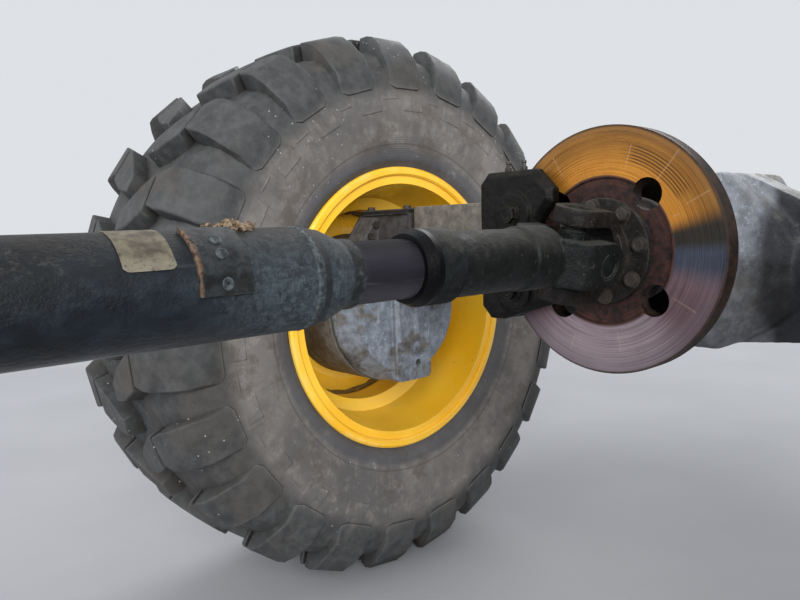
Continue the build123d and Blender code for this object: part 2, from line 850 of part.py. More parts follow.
with BuildPart() as balance_plate:
    with BuildSketch(station(-plate_start)):
        Circle(tube_radius + plate_thick)
        Circle(tube_radius, mode=Mode.SUBTRACT)
        Polygon(
            (0, 0),
            direction(plate_phase - plate_arc / 2, 2 * tube_radius),
            direction(plate_phase + plate_arc / 2, 2 * tube_radius),
            align=None,
            mode=Mode.INTERSECT,
        )
    extrude(amount=-(plate_end - plate_start))
save(balance_plate.part, "balance_plate")

with BuildPart() as tube_yoke:
    turned([
        (far_hub_start, 0),
        (far_hub_start, sleeve_radius),
        (far_hub_start + fork_shoulder - fork_floor, sleeve_root_radius),
        (-tube_end - weld_groove, tube_radius),
        (-tube_end, tube_radius - weld_groove),
        (-tube_end, tube_radius - tube_wall),
        (-tube_end + tube_spigot, tube_radius - tube_wall),
        (-tube_end + tube_spigot, 0),
    ])
    fork(far_centre, forward, slip_pin)
save(tube_yoke.part, "tube_yoke")

with BuildPart() as tube_yoke_cups:
    bearing_cups(far_centre, slip_pin)
save(tube_yoke_cups.part, "tube_yoke_cups")

# Far joint
with BuildPart() as far_cross:
    cross(far_centre)
save(far_cross.part, "far_cross")

with BuildPart() as far_flange_yoke:
    fork(far_centre, backward, flange_pin)
    flange_plate(far_centre, backward, flange_pin, flange_hole_clearance)
save(far_flange_yoke.part, "far_flange_yoke")

with BuildPart() as far_flange_cups:
    bearing_cups(far_centre, flange_pin)
save(far_flange_cups.part, "far_flange_cups")

# Brake calliper: one bridge over the disc's edge, its linings and its bracket
slot_depth = brake_lining_thick + seal_gap
with BuildPart() as calliper_body:
    with BuildSketch(station(-calliper_rear_depth)):
        Polygon(
            (calliper_inner, calliper_top - calliper_top_cut),
            (calliper_inner + calliper_top_cut, calliper_top),
            (calliper_outer - calliper_corner, calliper_top),
            (calliper_outer, calliper_top - calliper_corner),
            (calliper_outer, calliper_corner - calliper_bottom),
            (calliper_outer - calliper_corner, -calliper_bottom),
            (calliper_outer - calliper_foot, -calliper_bottom),
            (0, calliper_bottom_cut - calliper_bottom),
            (calliper_inner, 0),
            align=None,
        )
        Circle(calliper_bite_radius, mode=Mode.SUBTRACT)
    extrude(amount=calliper_rear_depth + calliper_front_depth)
    chamfer(calliper_body.faces().sort_by(Axis.X)[0].edges(), calliper_rear_bevel)
    with BuildSketch(station(-calliper_rear_depth - calliper_boss_length)):
        for angle in (180 - calliper_boss_angle, 180 + calliper_boss_angle):
            with Locations(direction(angle, calliper_boss_circle)):
                Circle(calliper_boss_radius)
    extrude(amount=calliper_boss_length)
    with BuildSketch(station(-slot_depth)):
        Circle(disc_radius + moving_gap)
    extrude(amount=disc_thick + 2 * slot_depth, mode=Mode.SUBTRACT)
save(calliper_body.part, "calliper_body")

for place, name in ((-slot_depth, "brake_lining_rear"), (disc_thick + seal_gap, "brake_lining_front")):
    with BuildPart() as brake_lining:
        with BuildSketch(station(place)):
            Circle(brake_lining_outer)
            Circle(brake_lining_inner, mode=Mode.SUBTRACT)
            Polygon(
                (0, 0),
                direction(180 - brake_lining_angle, 2 * brake_lining_outer),
                direction(180 + brake_lining_angle, 2 * brake_lining_outer),
                align=None,
                mode=Mode.INTERSECT,
            )
        extrude(amount=brake_lining_thick)
    save(brake_lining.part, name)

with BuildPart() as calliper_bracket:
    with BuildSketch(station(calliper_front_depth)):
        Circle(bracket_ring_radius)
        with Locations((bracket_reach / 2, 0)):
            Rectangle(bracket_reach, 2 * bracket_arm_half_width)
        Circle(nose_neck_radius, mode=Mode.SUBTRACT)
    extrude(amount=bracket_thick)
save(calliper_bracket.part, "calliper_bracket")
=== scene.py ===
import json
import random
from math import cos, pi, radians, sin, sqrt

import bmesh
import bpy
from mathutils import Matrix, Vector


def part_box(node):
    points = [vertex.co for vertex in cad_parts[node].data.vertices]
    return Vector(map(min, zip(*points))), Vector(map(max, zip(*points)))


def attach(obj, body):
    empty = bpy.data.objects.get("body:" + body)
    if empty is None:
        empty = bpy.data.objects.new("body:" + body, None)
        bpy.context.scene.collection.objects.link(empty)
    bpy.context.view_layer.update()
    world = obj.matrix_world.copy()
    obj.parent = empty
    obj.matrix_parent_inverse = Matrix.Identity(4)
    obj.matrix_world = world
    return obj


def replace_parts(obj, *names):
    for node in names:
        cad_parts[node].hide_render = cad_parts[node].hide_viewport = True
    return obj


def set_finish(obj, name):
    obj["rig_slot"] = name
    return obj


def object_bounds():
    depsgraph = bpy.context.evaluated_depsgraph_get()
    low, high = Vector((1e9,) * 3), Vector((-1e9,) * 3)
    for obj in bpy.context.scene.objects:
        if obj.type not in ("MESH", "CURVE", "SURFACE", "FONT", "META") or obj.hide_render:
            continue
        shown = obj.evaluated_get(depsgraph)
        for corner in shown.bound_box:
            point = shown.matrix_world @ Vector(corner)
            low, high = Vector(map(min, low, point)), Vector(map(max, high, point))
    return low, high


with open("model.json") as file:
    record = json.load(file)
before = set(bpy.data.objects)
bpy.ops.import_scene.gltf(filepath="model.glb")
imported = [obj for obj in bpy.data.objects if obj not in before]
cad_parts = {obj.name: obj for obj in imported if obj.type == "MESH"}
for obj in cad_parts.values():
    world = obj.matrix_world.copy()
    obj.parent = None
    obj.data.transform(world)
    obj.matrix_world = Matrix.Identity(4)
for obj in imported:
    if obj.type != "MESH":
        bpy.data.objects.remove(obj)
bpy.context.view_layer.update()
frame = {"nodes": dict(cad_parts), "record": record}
picks = random.Random(7)

# Metres throughout, in the part's frame. What the CAD already fixes is read from its nodes' boxes.
x_axis = Vector((1, 0, 0))
y_axis = Vector((0, 1, 0))
z_axis = Vector((0, 0, 1))


def middle_of(node):
    low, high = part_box(node)
    return (low + high) / 2


shaft_z = middle_of("brake_disc").z
near_cross = middle_of("near_cross")
far_cross = middle_of("far_cross")
wheel_middle = middle_of("rim_left")
rim_low, rim_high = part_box("rim_left")
rim_radius = (rim_high.z - rim_low.z) / 2
tube_low, tube_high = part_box("main_tube")
tube_radius = (tube_high.z - tube_low.z) / 2
joint_phase = radians(14)  # turn of the slip yoke's pin below the -Y direction
slip_pin = Vector((0, -cos(joint_phase), -sin(joint_phase)))
flange_pin = Vector((0, -sin(joint_phase), cos(joint_phase)))


def link(name, data):
    """A new object of the scene that holds this data."""
    made = bpy.data.objects.new(name, data)
    bpy.context.scene.collection.objects.link(made)
    return made


# Camera: the photograph's own place beside the shaft
place = Vector((-0.94441, -0.43322, -0.03471))
yaw, pitch, roll = radians(47.93), radians(-5.98), radians(-1.91)
focal_in_pixels = 699.4
image_width = 800
ahead = Vector((cos(yaw) * cos(pitch), sin(yaw) * cos(pitch), sin(pitch)))
level = Vector((sin(yaw), -cos(yaw), 0))
upright = level.cross(ahead)
right = cos(roll) * level + sin(roll) * upright
up = -sin(roll) * level + cos(roll) * upright
lens = bpy.data.cameras.new("camera")
lens.sensor_width = 36.0
lens.lens = focal_in_pixels * lens.sensor_width / image_width
lens.clip_start = 0.01
camera = link("camera", lens)
camera.matrix_world = Matrix.Translation(place) @ Matrix((right, up, -ahead)).transposed().to_4x4()
bpy.context.scene.camera = camera


# Finishes
def seen(red, green, blue):
    """Linear colour of what a screen shows as these 0 to 255 values."""
    return tuple(((value / 255 + 0.055) / 1.055) ** 2.4 for value in (red, green, blue)) + (1.0,)


def feed(tree, socket, value):
    """Give an input its value, or link it to the socket that carries the value."""
    if isinstance(value, bpy.types.NodeSocket):
        tree.links.new(value, socket)
    else:
        socket.default_value = value


def add_node(tree, kind, feeds=(), **settings):
    node = tree.nodes.new("ShaderNode" + kind)
    for name, value in settings.items():
        setattr(node, name, value)
    for socket, value in dict(feeds).items():
        feed(tree, node.inputs[socket], value)
    return node


class Finish:
    """A material in the making: each method adds nodes and returns the socket that carries the result.

    A tone is such a socket, a linear colour, or the three values from 0 to 255 that a screen shows.
    """

    def __init__(self, name, **surface):
        self.material = bpy.data.materials.new(name)
        self.material.use_nodes = True
        self.tree = self.material.node_tree
        self.shader = self.tree.nodes["Principled BSDF"]
        self.place = self.add("TexCoord").outputs["Object"]
        for socket, value in surface.items():
            self.shader.inputs[socket.replace("_", " ").title().replace("Ior", "IOR")].default_value = value

    def add(self, kind, feeds=(), **settings):
        return add_node(self.tree, kind, feeds, **settings)

    def along(self, axis):
        """Place along X, Y or Z, for 0, 1 or 2."""
        return self.add("SeparateXYZ", {0: self.place}).outputs[axis]

    def combined(self, first, second):
        """Two values as a place to read a pattern at."""
        return self.add("CombineXYZ", {0: first, 1: second}).outputs[0]

    def stretched(self, along_x, along_y, along_z):
        scale = (along_x, along_y, along_z)
        return self.add("Mapping", {"Vector": self.place, "Scale": scale}).outputs["Vector"]

    def noise(self, scale, detail=4.0, roughness=0.55, place=None):
        feeds = {"Vector": place or self.place, "Scale": scale, "Detail": detail, "Roughness": roughness}
        return self.add("TexNoise", feeds).outputs["Fac"]

    def cells(self, scale, place=None):
        return self.add("TexVoronoi", {"Vector": place or self.place, "Scale": scale}).outputs["Distance"]

    def math(self, operation, first, second=0.0):
        return self.add("Math", {0: first, 1: second}, operation=operation).outputs[0]

    def vector_math(self, operation, first, second=(0.0, 0.0, 0.0)):
        return self.add("VectorMath", {0: first, 1: second}, operation=operation).outputs

    def times(self, first, *others):
        for other in others:
            first = self.math("MULTIPLY", first, other)
        return first

    def plus(self, first, second, share=None):
        """Sum of two values, or of the first and a share of the second."""
        return self.math("ADD", first, second if share is None else self.times(second, share))

    def most(self, first, second):
        return self.math("MAXIMUM", first, second)

    def size(self, value):
        return self.math("ABSOLUTE", value)

    def shaken(self, value, noise, reach):
        """A value that a noise pushes up and down."""
        return self.plus(value, self.plus(noise, -0.5), reach)

    def fade(self, value, start, end):
        """0 at start, 1 at end, smooth between; start may be the larger."""
        feeds = {"Value": value, "From Min": start, "From Max": end}
        return self.add("MapRange", feeds, interpolation_type="SMOOTHSTEP").outputs["Result"]

    def near(self, value, middle, far, close):
        """0 where a value is this far from its middle, 1 where it is this close."""
        return self.fade(self.size(self.plus(value, -middle)), far, close)

    def tint(self, factor, first, second):
        """First tone where the factor is 0, second where it is 1."""
        feeds = {0: factor, 6: first, 7: second}
        for socket in (6, 7):
            if isinstance(feeds[socket], tuple) and len(feeds[socket]) == 3:
                feeds[socket] = seen(*feeds[socket])
        return self.add("Mix", feeds, data_type="RGBA").outputs[2]

    def blend(self, value, start, end, first, second):
        """Tones that fade into each other as a value runs from start to end."""
        return self.tint(self.fade(value, start, end), first, second)

    def over(self, colour, cover, share, tone):
        """Colour with a share of another tone over it, where the cover is 1."""
        return self.tint(self.times(cover, share), colour, tone)

    def lay(self, tone, cover, share=None):
        """Lay a tone, or a share of it, over the finish's colour so far, where the cover is 1."""
        cover = cover if share is None else self.times(cover, share)
        self.colour = self.tint(cover, self.colour, tone)

    def facing(self, direction):
        """How far the surface faces this way in the piece's own space, from -1 to 1."""
        normal = self.add("TexCoord").outputs["Normal"]
        return self.vector_math("DOT_PRODUCT", normal, tuple(direction))["Value"]

    def settled(self, noise, reach, start, end):
        """1 where dust settles, on what faces up, its border shaken by a noise."""
        return self.fade(self.shaken(self.facing(z_axis), noise, reach), start, end)

    def edges(self, radius):
        """1 along edges and corners, from the difference that rounding them makes."""
        rounded = self.add("Bevel", {"Radius": radius}, samples=4).outputs["Normal"]
        normal = self.add("NewGeometry").outputs["Normal"]
        same = self.vector_math("DOT_PRODUCT", rounded, normal)["Value"]
        return self.fade(self.math("SUBTRACT", 1.0, same), 0.03, 0.22)

    def crevices(self, reach):
        """1 in corners and gaps, 0 in the open."""
        node = self.add("AmbientOcclusion", {"Distance": reach}, samples=6)
        return self.fade(node.outputs["AO"], 0.85, 0.35)

    def from_axis(self, centre, axis):
        """Distance from a line through centre along this axis."""
        offset = self.vector_math("SUBTRACT", self.place, tuple(centre))[0]
        flat = self.vector_math("MULTIPLY", offset, tuple(1 - abs(part) for part in axis))[0]
        return self.vector_math("LENGTH", flat)["Value"]

    def bump(self, *layers):
        """Stack of (height, depth in metres, strength) layers, the last one on top."""
        feeds = {}
        for height, depth, strength in layers:
            feeds.update({"Height": height, "Distance": depth, "Strength": strength})
            feeds["Normal"] = self.add("Bump", feeds).outputs["Normal"]
        feed(self.tree, self.shader.inputs["Normal"], feeds["Normal"])

    def done(self, roughness=None, metallic=None):
        for name, value in (("Base Color", self.colour), ("Roughness", roughness), ("Metallic", metallic)):
            if value is not None:
                feed(self.tree, self.shader.inputs[name], value)
        return self.material


def make_tube_paint():
    """Blue-black paint with a leathery grain, flaking above, rubbed grey towards its weld, with painted
    highlights on the grain there; what faces up is darkened as painted shade.
    """
    f = Finish("tube_paint", specular_ior_level=0.3)
    x, z = f.along(0), f.along(2)
    grime = f.noise(14, 6, 0.62, f.stretched(0.5, 1, 1))
    pebble = f.cells(330, f.stretched(0.7, 1, 1))
    wrinkle = f.noise(85, 6, 0.62, f.stretched(0.6, 1, 1))
    fine = f.noise(520, 3, 0.65)
    near_weld = f.fade(f.shaken(x, grime, 0.1), tube_high.x - 0.105, tube_high.x - 0.02)
    f.colour = f.blend(grime, 0.34, 0.7, (8, 12, 16), (24, 32, 40))
    f.lay((42, 52, 61), f.fade(wrinkle, 0.46, 0.7), 0.35)
    rubbed = f.noise(75, 9, 0.74)
    patch = f.blend(rubbed, 0.34, 0.66, (24, 31, 36), (60, 71, 78))
    # Painted highlights: pale flecks on the crests of the fine grain.
    patch = f.over(patch, f.fade(fine, 0.56, 0.7), 0.4, (92, 98, 98))
    patch = f.over(patch, f.fade(f.noise(210, 6, 0.75), 0.46, 0.62), 0.45, (96, 108, 112))
    f.lay(patch, near_weld, 0.85)
    upper = f.times(f.fade(z, shaft_z + 0.01, shaft_z + 0.024), f.fade(z, shaft_z + 0.0385, shaft_z + 0.034))
    flakes = f.noise(190, 6, 0.8, f.stretched(0.6, 1, 1))
    f.lay((104, 102, 92), f.times(f.fade(flakes, 0.53, 0.6), upper, f.fade(f.noise(9, 3), 0.42, 0.56)), 0.5)
    f.lay((92, 98, 104), f.times(f.fade(f.noise(60, 2, 0.5, f.stretched(0.08, 1, 1)), 0.66, 0.7), 0.22))
    groove = f.near(x, tube_high.x + 0.0075, 0.0042, 0.0022)
    dark_end = f.fade(x, tube_high.x + 0.036, tube_high.x + 0.04)
    f.lay((20, 22, 25), f.most(f.times(groove, 0.75), f.times(dark_end, f.fade(rubbed, 0.6, 0.45))))
    # Painted shade: what faces up is darkened towards black.
    f.lay((12, 12, 12), f.fade(f.facing(z_axis), 0.0, 0.8), 0.6)
    # Dust on what faces up, its dark tones also painting the shade on top.
    cover = f.times(f.settled(rubbed, 1.6, 0.62, 1.15), f.plus(0.4, near_weld, 0.55), 0.85)
    f.lay(f.tint(f.noise(70, 5, 0.6), (28, 24, 20), (62, 57, 50)), cover)
    scaly = f.times(rubbed, near_weld)
    f.bump((wrinkle, 0.003, 0.6), (pebble, 0.001, -0.6), (scaly, 0.003, 0.8), (fine, 0.0005, 0.6))
    sheen = f.times(f.fade(f.facing(z_axis), -0.1, -0.7), -0.18)
    return f.done(f.plus(f.plus(0.46, sheen), f.most(cover, f.times(near_weld, 0.6)), 0.36))


def make_plate_paint():
    """The balance plate: darker than its tube, its cut edge torn and rusty."""
    f = Finish("plate_paint", specular_ior_level=0.3)
    low_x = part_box("balance_plate")[0].x
    grime = f.noise(90, 7, 0.7)
    rust_edge = f.fade(f.shaken(f.along(0), f.noise(60, 5, 0.7), 0.01), low_x + 0.0034, low_x + 0.001)
    f.colour = f.blend(grime, 0.4, 0.6, (9, 11, 13), (40, 45, 48))
    f.lay((56, 56, 52), f.fade(f.noise(34, 6, 0.7), 0.5, 0.6), 0.25)
    rust_tone = f.noise(240, 5, 0.7)
    f.lay(f.blend(rust_tone, 0.36, 0.62, (40, 27, 20), (122, 98, 78)), rust_edge, 0.9)
    f.lay((96, 96, 88), f.times(f.edges(0.0014), f.fade(f.noise(50, 4), 0.4, 0.55)), 0.35)
    # Painted shade: near-black in the crevices at the plate's edges.
    f.lay((14, 14, 14), f.crevices(0.003), 0.85)
    f.bump((grime, 0.0012, 0.5), (f.times(rust_tone, rust_edge), 0.0008, 0.4), (f.noise(500, 3), 0.0004, 0.4))
    return f.done(f.plus(0.5, rust_edge, 0.4))


def make_casting_paint(name, clean, brown, soot, share, pale_top, zones=()):
    """Paint on rough castings: bluish where rubbed clean, brown with dirt elsewhere, dust on top.

    A zone is an axis, two distances along it, the tone that the paint takes at the second, and how far; a
    zone can lay painted shade.
    """
    f = Finish(name, specular_ior_level=0.25)
    patch = f.noise(11, 7, 0.66)
    rough = f.noise(55, 6, 0.62)
    drift = f.noise(17, 7, 0.7)
    edges = f.times(f.edges(0.004), f.fade(f.noise(26, 4), 0.36, 0.52))
    f.colour = f.blend(rough, 0.3, 0.7, tuple(0.74 * part for part in clean), clean)
    dirty = f.most(f.fade(f.shaken(patch, drift, 0.5), share, share + 0.12), f.times(f.crevices(0.03), 0.9))
    f.lay(f.blend(f.noise(38, 6, 0.65), 0.34, 0.64, soot, brown), dirty, 0.85)
    smear = f.fade(f.noise(42, 8, 0.8, f.stretched(1, 1, 0.45)), 0.54, 0.62)
    f.lay((158, 164, 172), f.times(smear, f.fade(patch, share + 0.1, share)), 0.45)
    chips = f.times(f.fade(f.noise(150, 6, 0.8), 0.57, 0.63), f.fade(patch, share + 0.04, share - 0.06))
    f.lay((190, 196, 204), f.most(edges, chips), 0.62)
    for axis, start, end, tone, share_there in zones:
        there = f.fade(f.size(f.along(axis)), start, end)
        f.lay(f.blend(rough, 0.3, 0.7, tuple(0.7 * part for part in tone), tone), there, share_there)
    f.lay((140, 136, 126), f.settled(drift, 2.4, 0.45, 1.25), pale_top)
    f.bump((rough, 0.0032, 0.45), (f.noise(340, 3, 0.6), 0.0008, 0.55), (dirty, 0.0008, 0.4))
    return f.done(f.plus(0.5, dirty, 0.35))


def make_hub_paint():
    f = Finish("hub_paint", specular_ior_level=0.35)
    rough = f.noise(60, 5)
    f.colour = f.blend(rough, 0.35, 0.65, (84, 84, 82), (116, 116, 114))
    f.lay((84, 74, 60), f.most(f.fade(f.noise(16, 5), 0.4, 0.62), f.crevices(0.02)), 0.85)
    f.lay((150, 150, 148), f.edges(0.003), 0.4)
    f.bump((rough, 0.002, 0.4), (f.noise(300, 3), 0.0006, 0.4))
    return f.done(0.62)


def make_rim_paint():
    """Glossy yellow, dusty inside the well and chipped along the lip."""
    f = Finish("rim_paint", coat_weight=0.35, coat_roughness=0.12, specular_ior_level=0.5)
    side = f.size(f.along(1))
    radius = f.from_axis(wheel_middle, y_axis)
    depth = f.fade(radius, 0.262, 0.215)
    cloud = f.noise(11, 6, 0.6)
    dusty = f.times(f.fade(cloud, 0.4, 0.7), depth)
    dusty = f.most(dusty, f.times(f.fade(f.plus(f.along(2), cloud, 0.12), -0.3, -0.4), depth, 0.7))
    f.colour = f.blend(f.noise(4, 3), 0.35, 0.65, (248, 186, 30), (255, 204, 56))
    f.lay((228, 186, 88), dusty, 0.35)
    f.lay((232, 196, 104), f.times(f.fade(f.noise(9, 7, 0.7, f.stretched(1, 3, 1)), 0.56, 0.64), depth), 0.3)
    lip = f.times(f.fade(radius, 0.268, 0.273), f.fade(f.noise(24, 5, 0.65), 0.42, 0.62))
    f.lay((246, 214, 128), lip, 0.35)
    chips = f.times(f.fade(f.cells(42), 0.07, 0.05), f.fade(f.noise(9, 3), 0.52, 0.6))
    f.lay((70, 58, 46), chips)
    f.lay((244, 216, 140), f.times(f.edges(0.003), f.fade(f.noise(30, 4), 0.5, 0.6)), 0.4)
    ragged = f.plus(radius, f.shaken(-0.1995, f.noise(60, 4), 0.012))
    inboard = f.fade(side, 0.83, 0.82)
    gap = f.times(f.fade(f.size(ragged), 0.0058, 0.0034), inboard, f.fade(side, 0.775, 0.785))
    f.lay((58, 44, 24), gap, 0.9)
    f.bump((f.noise(30, 4), 0.0008, 0.15), (dusty, 0.0004, 0.3), (f.noise(500, 2), 0.0002, 0.2))
    return f.done(f.plus(0.24, dusty, 0.45))


def make_tyre_rubber():
    """Dusty grey rubber, brownish on the walls, dark and muddy between the lugs."""
    f = Finish("tyre_rubber", specular_ior_level=0.34)
    radius = f.from_axis(wheel_middle, y_axis)
    cloud = f.noise(6, 6, 0.6)
    mottle = f.noise(48, 6, 0.66)
    grain = f.noise(420, 3, 0.65)
    f.colour = f.blend(cloud, 0.35, 0.68, (86, 84, 83), (120, 115, 111))
    f.lay((134, 129, 122), f.fade(mottle, 0.5, 0.66), 0.35)
    f.lay((80, 70, 60), f.fade(f.noise(15, 8, 0.74), 0.5, 0.62), 0.5)
    round_wheel = f.math("ARCTAN2", f.plus(f.along(2), -wheel_middle.z), f.along(0))
    rays = f.combined(f.times(round_wheel, 60.0), f.times(radius, 14.0))
    f.lay((62, 62, 64), f.fade(f.noise(1.0, 5, 0.7, rays), 0.52, 0.68), 0.22)
    f.lay((66, 68, 74), f.fade(radius, 0.318, 0.306), 0.6)
    tread = f.fade(f.plus(radius, cloud, 0.04), 0.415, 0.465)
    rubbed = f.blend(mottle, 0.3, 0.7, (40, 42, 43), (64, 66, 67))
    rubbed = f.over(rubbed, f.fade(cloud, 0.5, 0.62), 0.4, (64, 58, 52))
    f.lay(rubbed, tread, 0.88)
    f.lay((32, 29, 26), f.times(f.crevices(0.05), tread), 0.85)
    f.lay((112, 113, 113), f.times(f.edges(0.006), tread), 0.4)
    rings = f.fade(f.math("SINE", f.times(radius, 1500.0)), -0.4, 1.0)
    ringed = f.times(rings, f.times(f.fade(radius, 0.3, 0.305), f.fade(radius, 0.345, 0.335)))
    line = f.near(radius, 0.3225, 0.0022, 0.0012)
    f.lay((52, 54, 58), line, 0.35)
    f.lay((150, 150, 152), f.times(f.fade(f.noise(12, 8, 0.78), 0.6, 0.65), f.fade(radius, 0.44, 0.4)), 0.3)
    f.lay((190, 192, 196), f.times(f.fade(f.cells(70), 0.12, 0.06), f.fade(f.noise(5, 3), 0.52, 0.6)), 0.6)
    f.bump((mottle, 0.0014, 0.3), (grain, 0.0006, 0.45), (ringed, 0.0006, 0.35), (line, 0.001, -0.4))
    return f.done(f.plus(0.56, f.fade(cloud, 0.4, 0.6), 0.2))


# Pale lines across the disc's faces: degrees from -Y towards +Z, their inner and outer radius in mm
disc_lines = [
    (73.0, 92, 122), (49.6, 98, 139), (27.0, 106, 137), (24.0, 88, 99), (-30.5, 96, 126),
    (-78.5, 90, 117), (-110.5, 103, 126), (121.0, 100, 130), (158.0, 92, 118), (-146.0, 98, 128),
]


def make_disc_iron():
    """Swept faces, straw above, grey then mauve below, with scores round them; rust elsewhere. The colours
    that follow the angle round the axis are a painted reflection, dark at the sides, and the straw darkens
    outwards as painted shade.
    """
    f = Finish("disc_iron", specular_ior_level=0.25, anisotropic=0.5)
    radius = f.from_axis((0, 0, shaft_z), x_axis)
    height = f.plus(f.along(2), -shaft_z)
    across = f.times(f.along(1), -1.0)
    angle = f.math("ARCTAN2", height, across)
    wobble = f.plus(f.noise(14, 4), -0.5)
    score = f.noise(1.0, 3, 0.7, f.combined(f.times(radius, 900.0), f.times(angle, 0.6)))
    fine_score = f.noise(1.0, 2, 0.6, f.combined(f.times(radius, 3000.0), angle))
    streak = f.fade(f.plus(score, wobble, 0.4), 0.3, 0.7)
    # Painted reflection above: a lit straw copy near the web and a painted-shade copy towards the rim.
    lit_straw_reflection = f.tint(streak, (140, 88, 26), (188, 128, 48))
    shaded_straw_reflection = f.tint(streak, (88, 56, 20), (138, 96, 42))
    straw = f.over(lit_straw_reflection, f.fade(f.plus(radius, wobble, 0.02), 0.092, 0.126), 0.85, shaded_straw_reflection)
    straw = f.over(straw, f.fade(radius, 0.126, 0.137), 0.35, (120, 92, 62))
    # Painted reflection below: rosy and mauve floor tones.
    rosy = f.tint(streak, (84, 66, 70), (118, 96, 102))
    mauve = f.tint(streak, (108, 96, 100), (150, 134, 140))
    slope = f.math("ARCTAN2", height, f.plus(f.size(across), wobble, 0.012))
    # Painted reflection and shade by the angle round the axis: floor tones below, dark bands at the sides,
    # straw on top, a grey outer ring below.
    f.colour = f.blend(slope, -0.62, -1.05, rosy, mauve)
    f.lay(f.tint(streak, (40, 46, 56), (74, 80, 94)), f.fade(slope, -0.36, -0.1))
    f.lay(f.tint(streak, (28, 26, 24), (54, 50, 44)), f.fade(slope, -0.02, 0.11))
    f.lay(straw, f.fade(slope, 0.2, 0.38))
    f.lay((84, 78, 84), f.fade(radius, 0.11, 0.134), f.times(f.fade(slope, -0.2, -0.5), 0.4))
    arc = f.times(f.fade(angle, 0.5, 0.62), f.fade(angle, 1.36, 1.18))
    arc = f.times(arc, f.times(f.fade(radius, 0.1, 0.103), f.fade(radius, 0.124, 0.119)))
    arc_lines = f.fade(f.math("SINE", f.plus(f.times(radius, 1900.0), wobble, 2.5)), -0.1, 0.6)
    arc_lines = f.times(arc_lines, arc, f.fade(score, 0.34, 0.5))
    f.lay((44, 29, 14), arc_lines, 0.85)
    lines = 0.0
    for degrees, inner_mm, outer_mm in disc_lines:
        inner, outer = inner_mm / 1000, outer_mm / 1000
        turn = f.plus(angle, -radians(degrees))
        beside = f.size(f.times(f.plus(turn, wobble, 0.03), radius))
        span = f.times(f.fade(radius, inner, inner + 0.003), f.fade(radius, outer, outer - 0.003))
        lines = f.most(lines, f.times(f.fade(beside, 0.0011, 0.0002), span))
    f.lay((196, 170, 136), f.times(lines, f.fade(fine_score, 0.3, 0.6)), 0.3)
    band = f.plus(radius, wobble, 0.0025)
    web = f.fade(band, 0.0865, 0.0835)
    lip = f.fade(band, 0.136, 0.1388)
    edge = f.fade(f.size(f.facing(x_axis)), 0.8, 0.6)
    rust_fine = f.noise(120, 5, 0.65)
    rust = f.blend(rust_fine, 0.34, 0.66, (19, 10, 9), (54, 30, 26))
    crusty = f.times(f.fade(radius, 0.07, 0.079), f.fade(f.noise(30, 4), 0.4, 0.6))
    rust = f.over(rust, crusty, 0.7, (72, 42, 34))
    web_rings = f.fade(f.math("SINE", f.times(radius, 1400.0)), 0.2, 0.9)
    web_rings = f.times(web_rings, f.times(f.fade(radius, 0.066, 0.068), web))
    rust = f.over(rust, web_rings, 0.4, (24, 16, 15))
    f.lay(rust, web)
    f.lay(f.blend(rust_fine, 0.35, 0.65, (15, 9, 7), (46, 29, 18)), f.most(edge, f.times(lip, 0.85)))
    bare = f.math("SUBTRACT", 1.0, f.most(web, f.most(edge, lip)))
    f.bump(
        (score, 0.0006, 0.35),
        (fine_score, 0.0003, 0.3),
        (arc_lines, 0.0006, -0.6),
        (web_rings, 0.0008, -0.6),
        (f.times(rust_fine, web), 0.0012, 0.45),
    )
    return f.done(f.plus(0.66, bare, -0.28), f.times(bare, 0.45))


def make_forging(name, base, dust_low, dust_high, dust_reach):
    """Dark forged or cast iron, with dust where it faces up and in its corners."""
    f = Finish(name, specular_ior_level=0.15)
    rough = f.noise(70, 6, 0.64)
    cloud = f.noise(24, 7, 0.7)
    caked = f.times(f.crevices(0.018), f.fade(cloud, 0.35, 0.6))
    cover = f.most(f.times(f.settled(cloud, 2.6, 0.15, 1.05), 0.8), f.times(caked, 0.55))
    bright = tuple(2.2 * part for part in seen(*base)[:3]) + (1,)
    f.colour = f.blend(rough, 0.3, 0.7, base, bright)
    f.lay(dust_low, f.fade(f.noise(40, 8, 0.78), 0.5, 0.6), 0.5 * dust_reach)
    speck = f.times(f.fade(f.noise(260, 4, 0.75), 0.61, 0.68), dust_reach)
    hair = f.near(f.noise(52, 1, 0.4), 0.5, 0.005, 0.0015)
    hair = f.times(hair, f.fade(f.noise(75, 3), 0.54, 0.6), dust_reach)
    f.lay(f.tint(rough, dust_low, dust_high), cover)
    f.lay(dust_high, f.most(speck, hair))
    f.lay((120, 120, 116), f.times(f.edges(0.0022), f.fade(f.noise(60, 3), 0.45, 0.6)), 0.3)
    f.bump((rough, 0.0026, 0.55), (f.noise(380, 3, 0.6), 0.0007, 0.55), (cover, 0.0006, 0.6))
    return f.done(f.plus(0.48, cover, 0.4))


def make_bolt_steel():
    f = Finish("bolt_steel", specular_ior_level=0.5)
    rough = f.noise(160, 4, 0.6)
    rusty = f.fade(f.noise(45, 4), 0.42, 0.62)
    f.colour = f.tint(rough, (26, 25, 24), (58, 56, 52))
    f.lay((56, 43, 35), rusty, 0.6)
    f.lay((36, 32, 28), f.crevices(0.006), 0.8)
    f.lay((116, 113, 106), f.edges(0.0008), 0.35)
    f.bump((rough, 0.0006, 0.5))
    return f.done(f.plus(0.45, rusty, 0.3), 0.2)


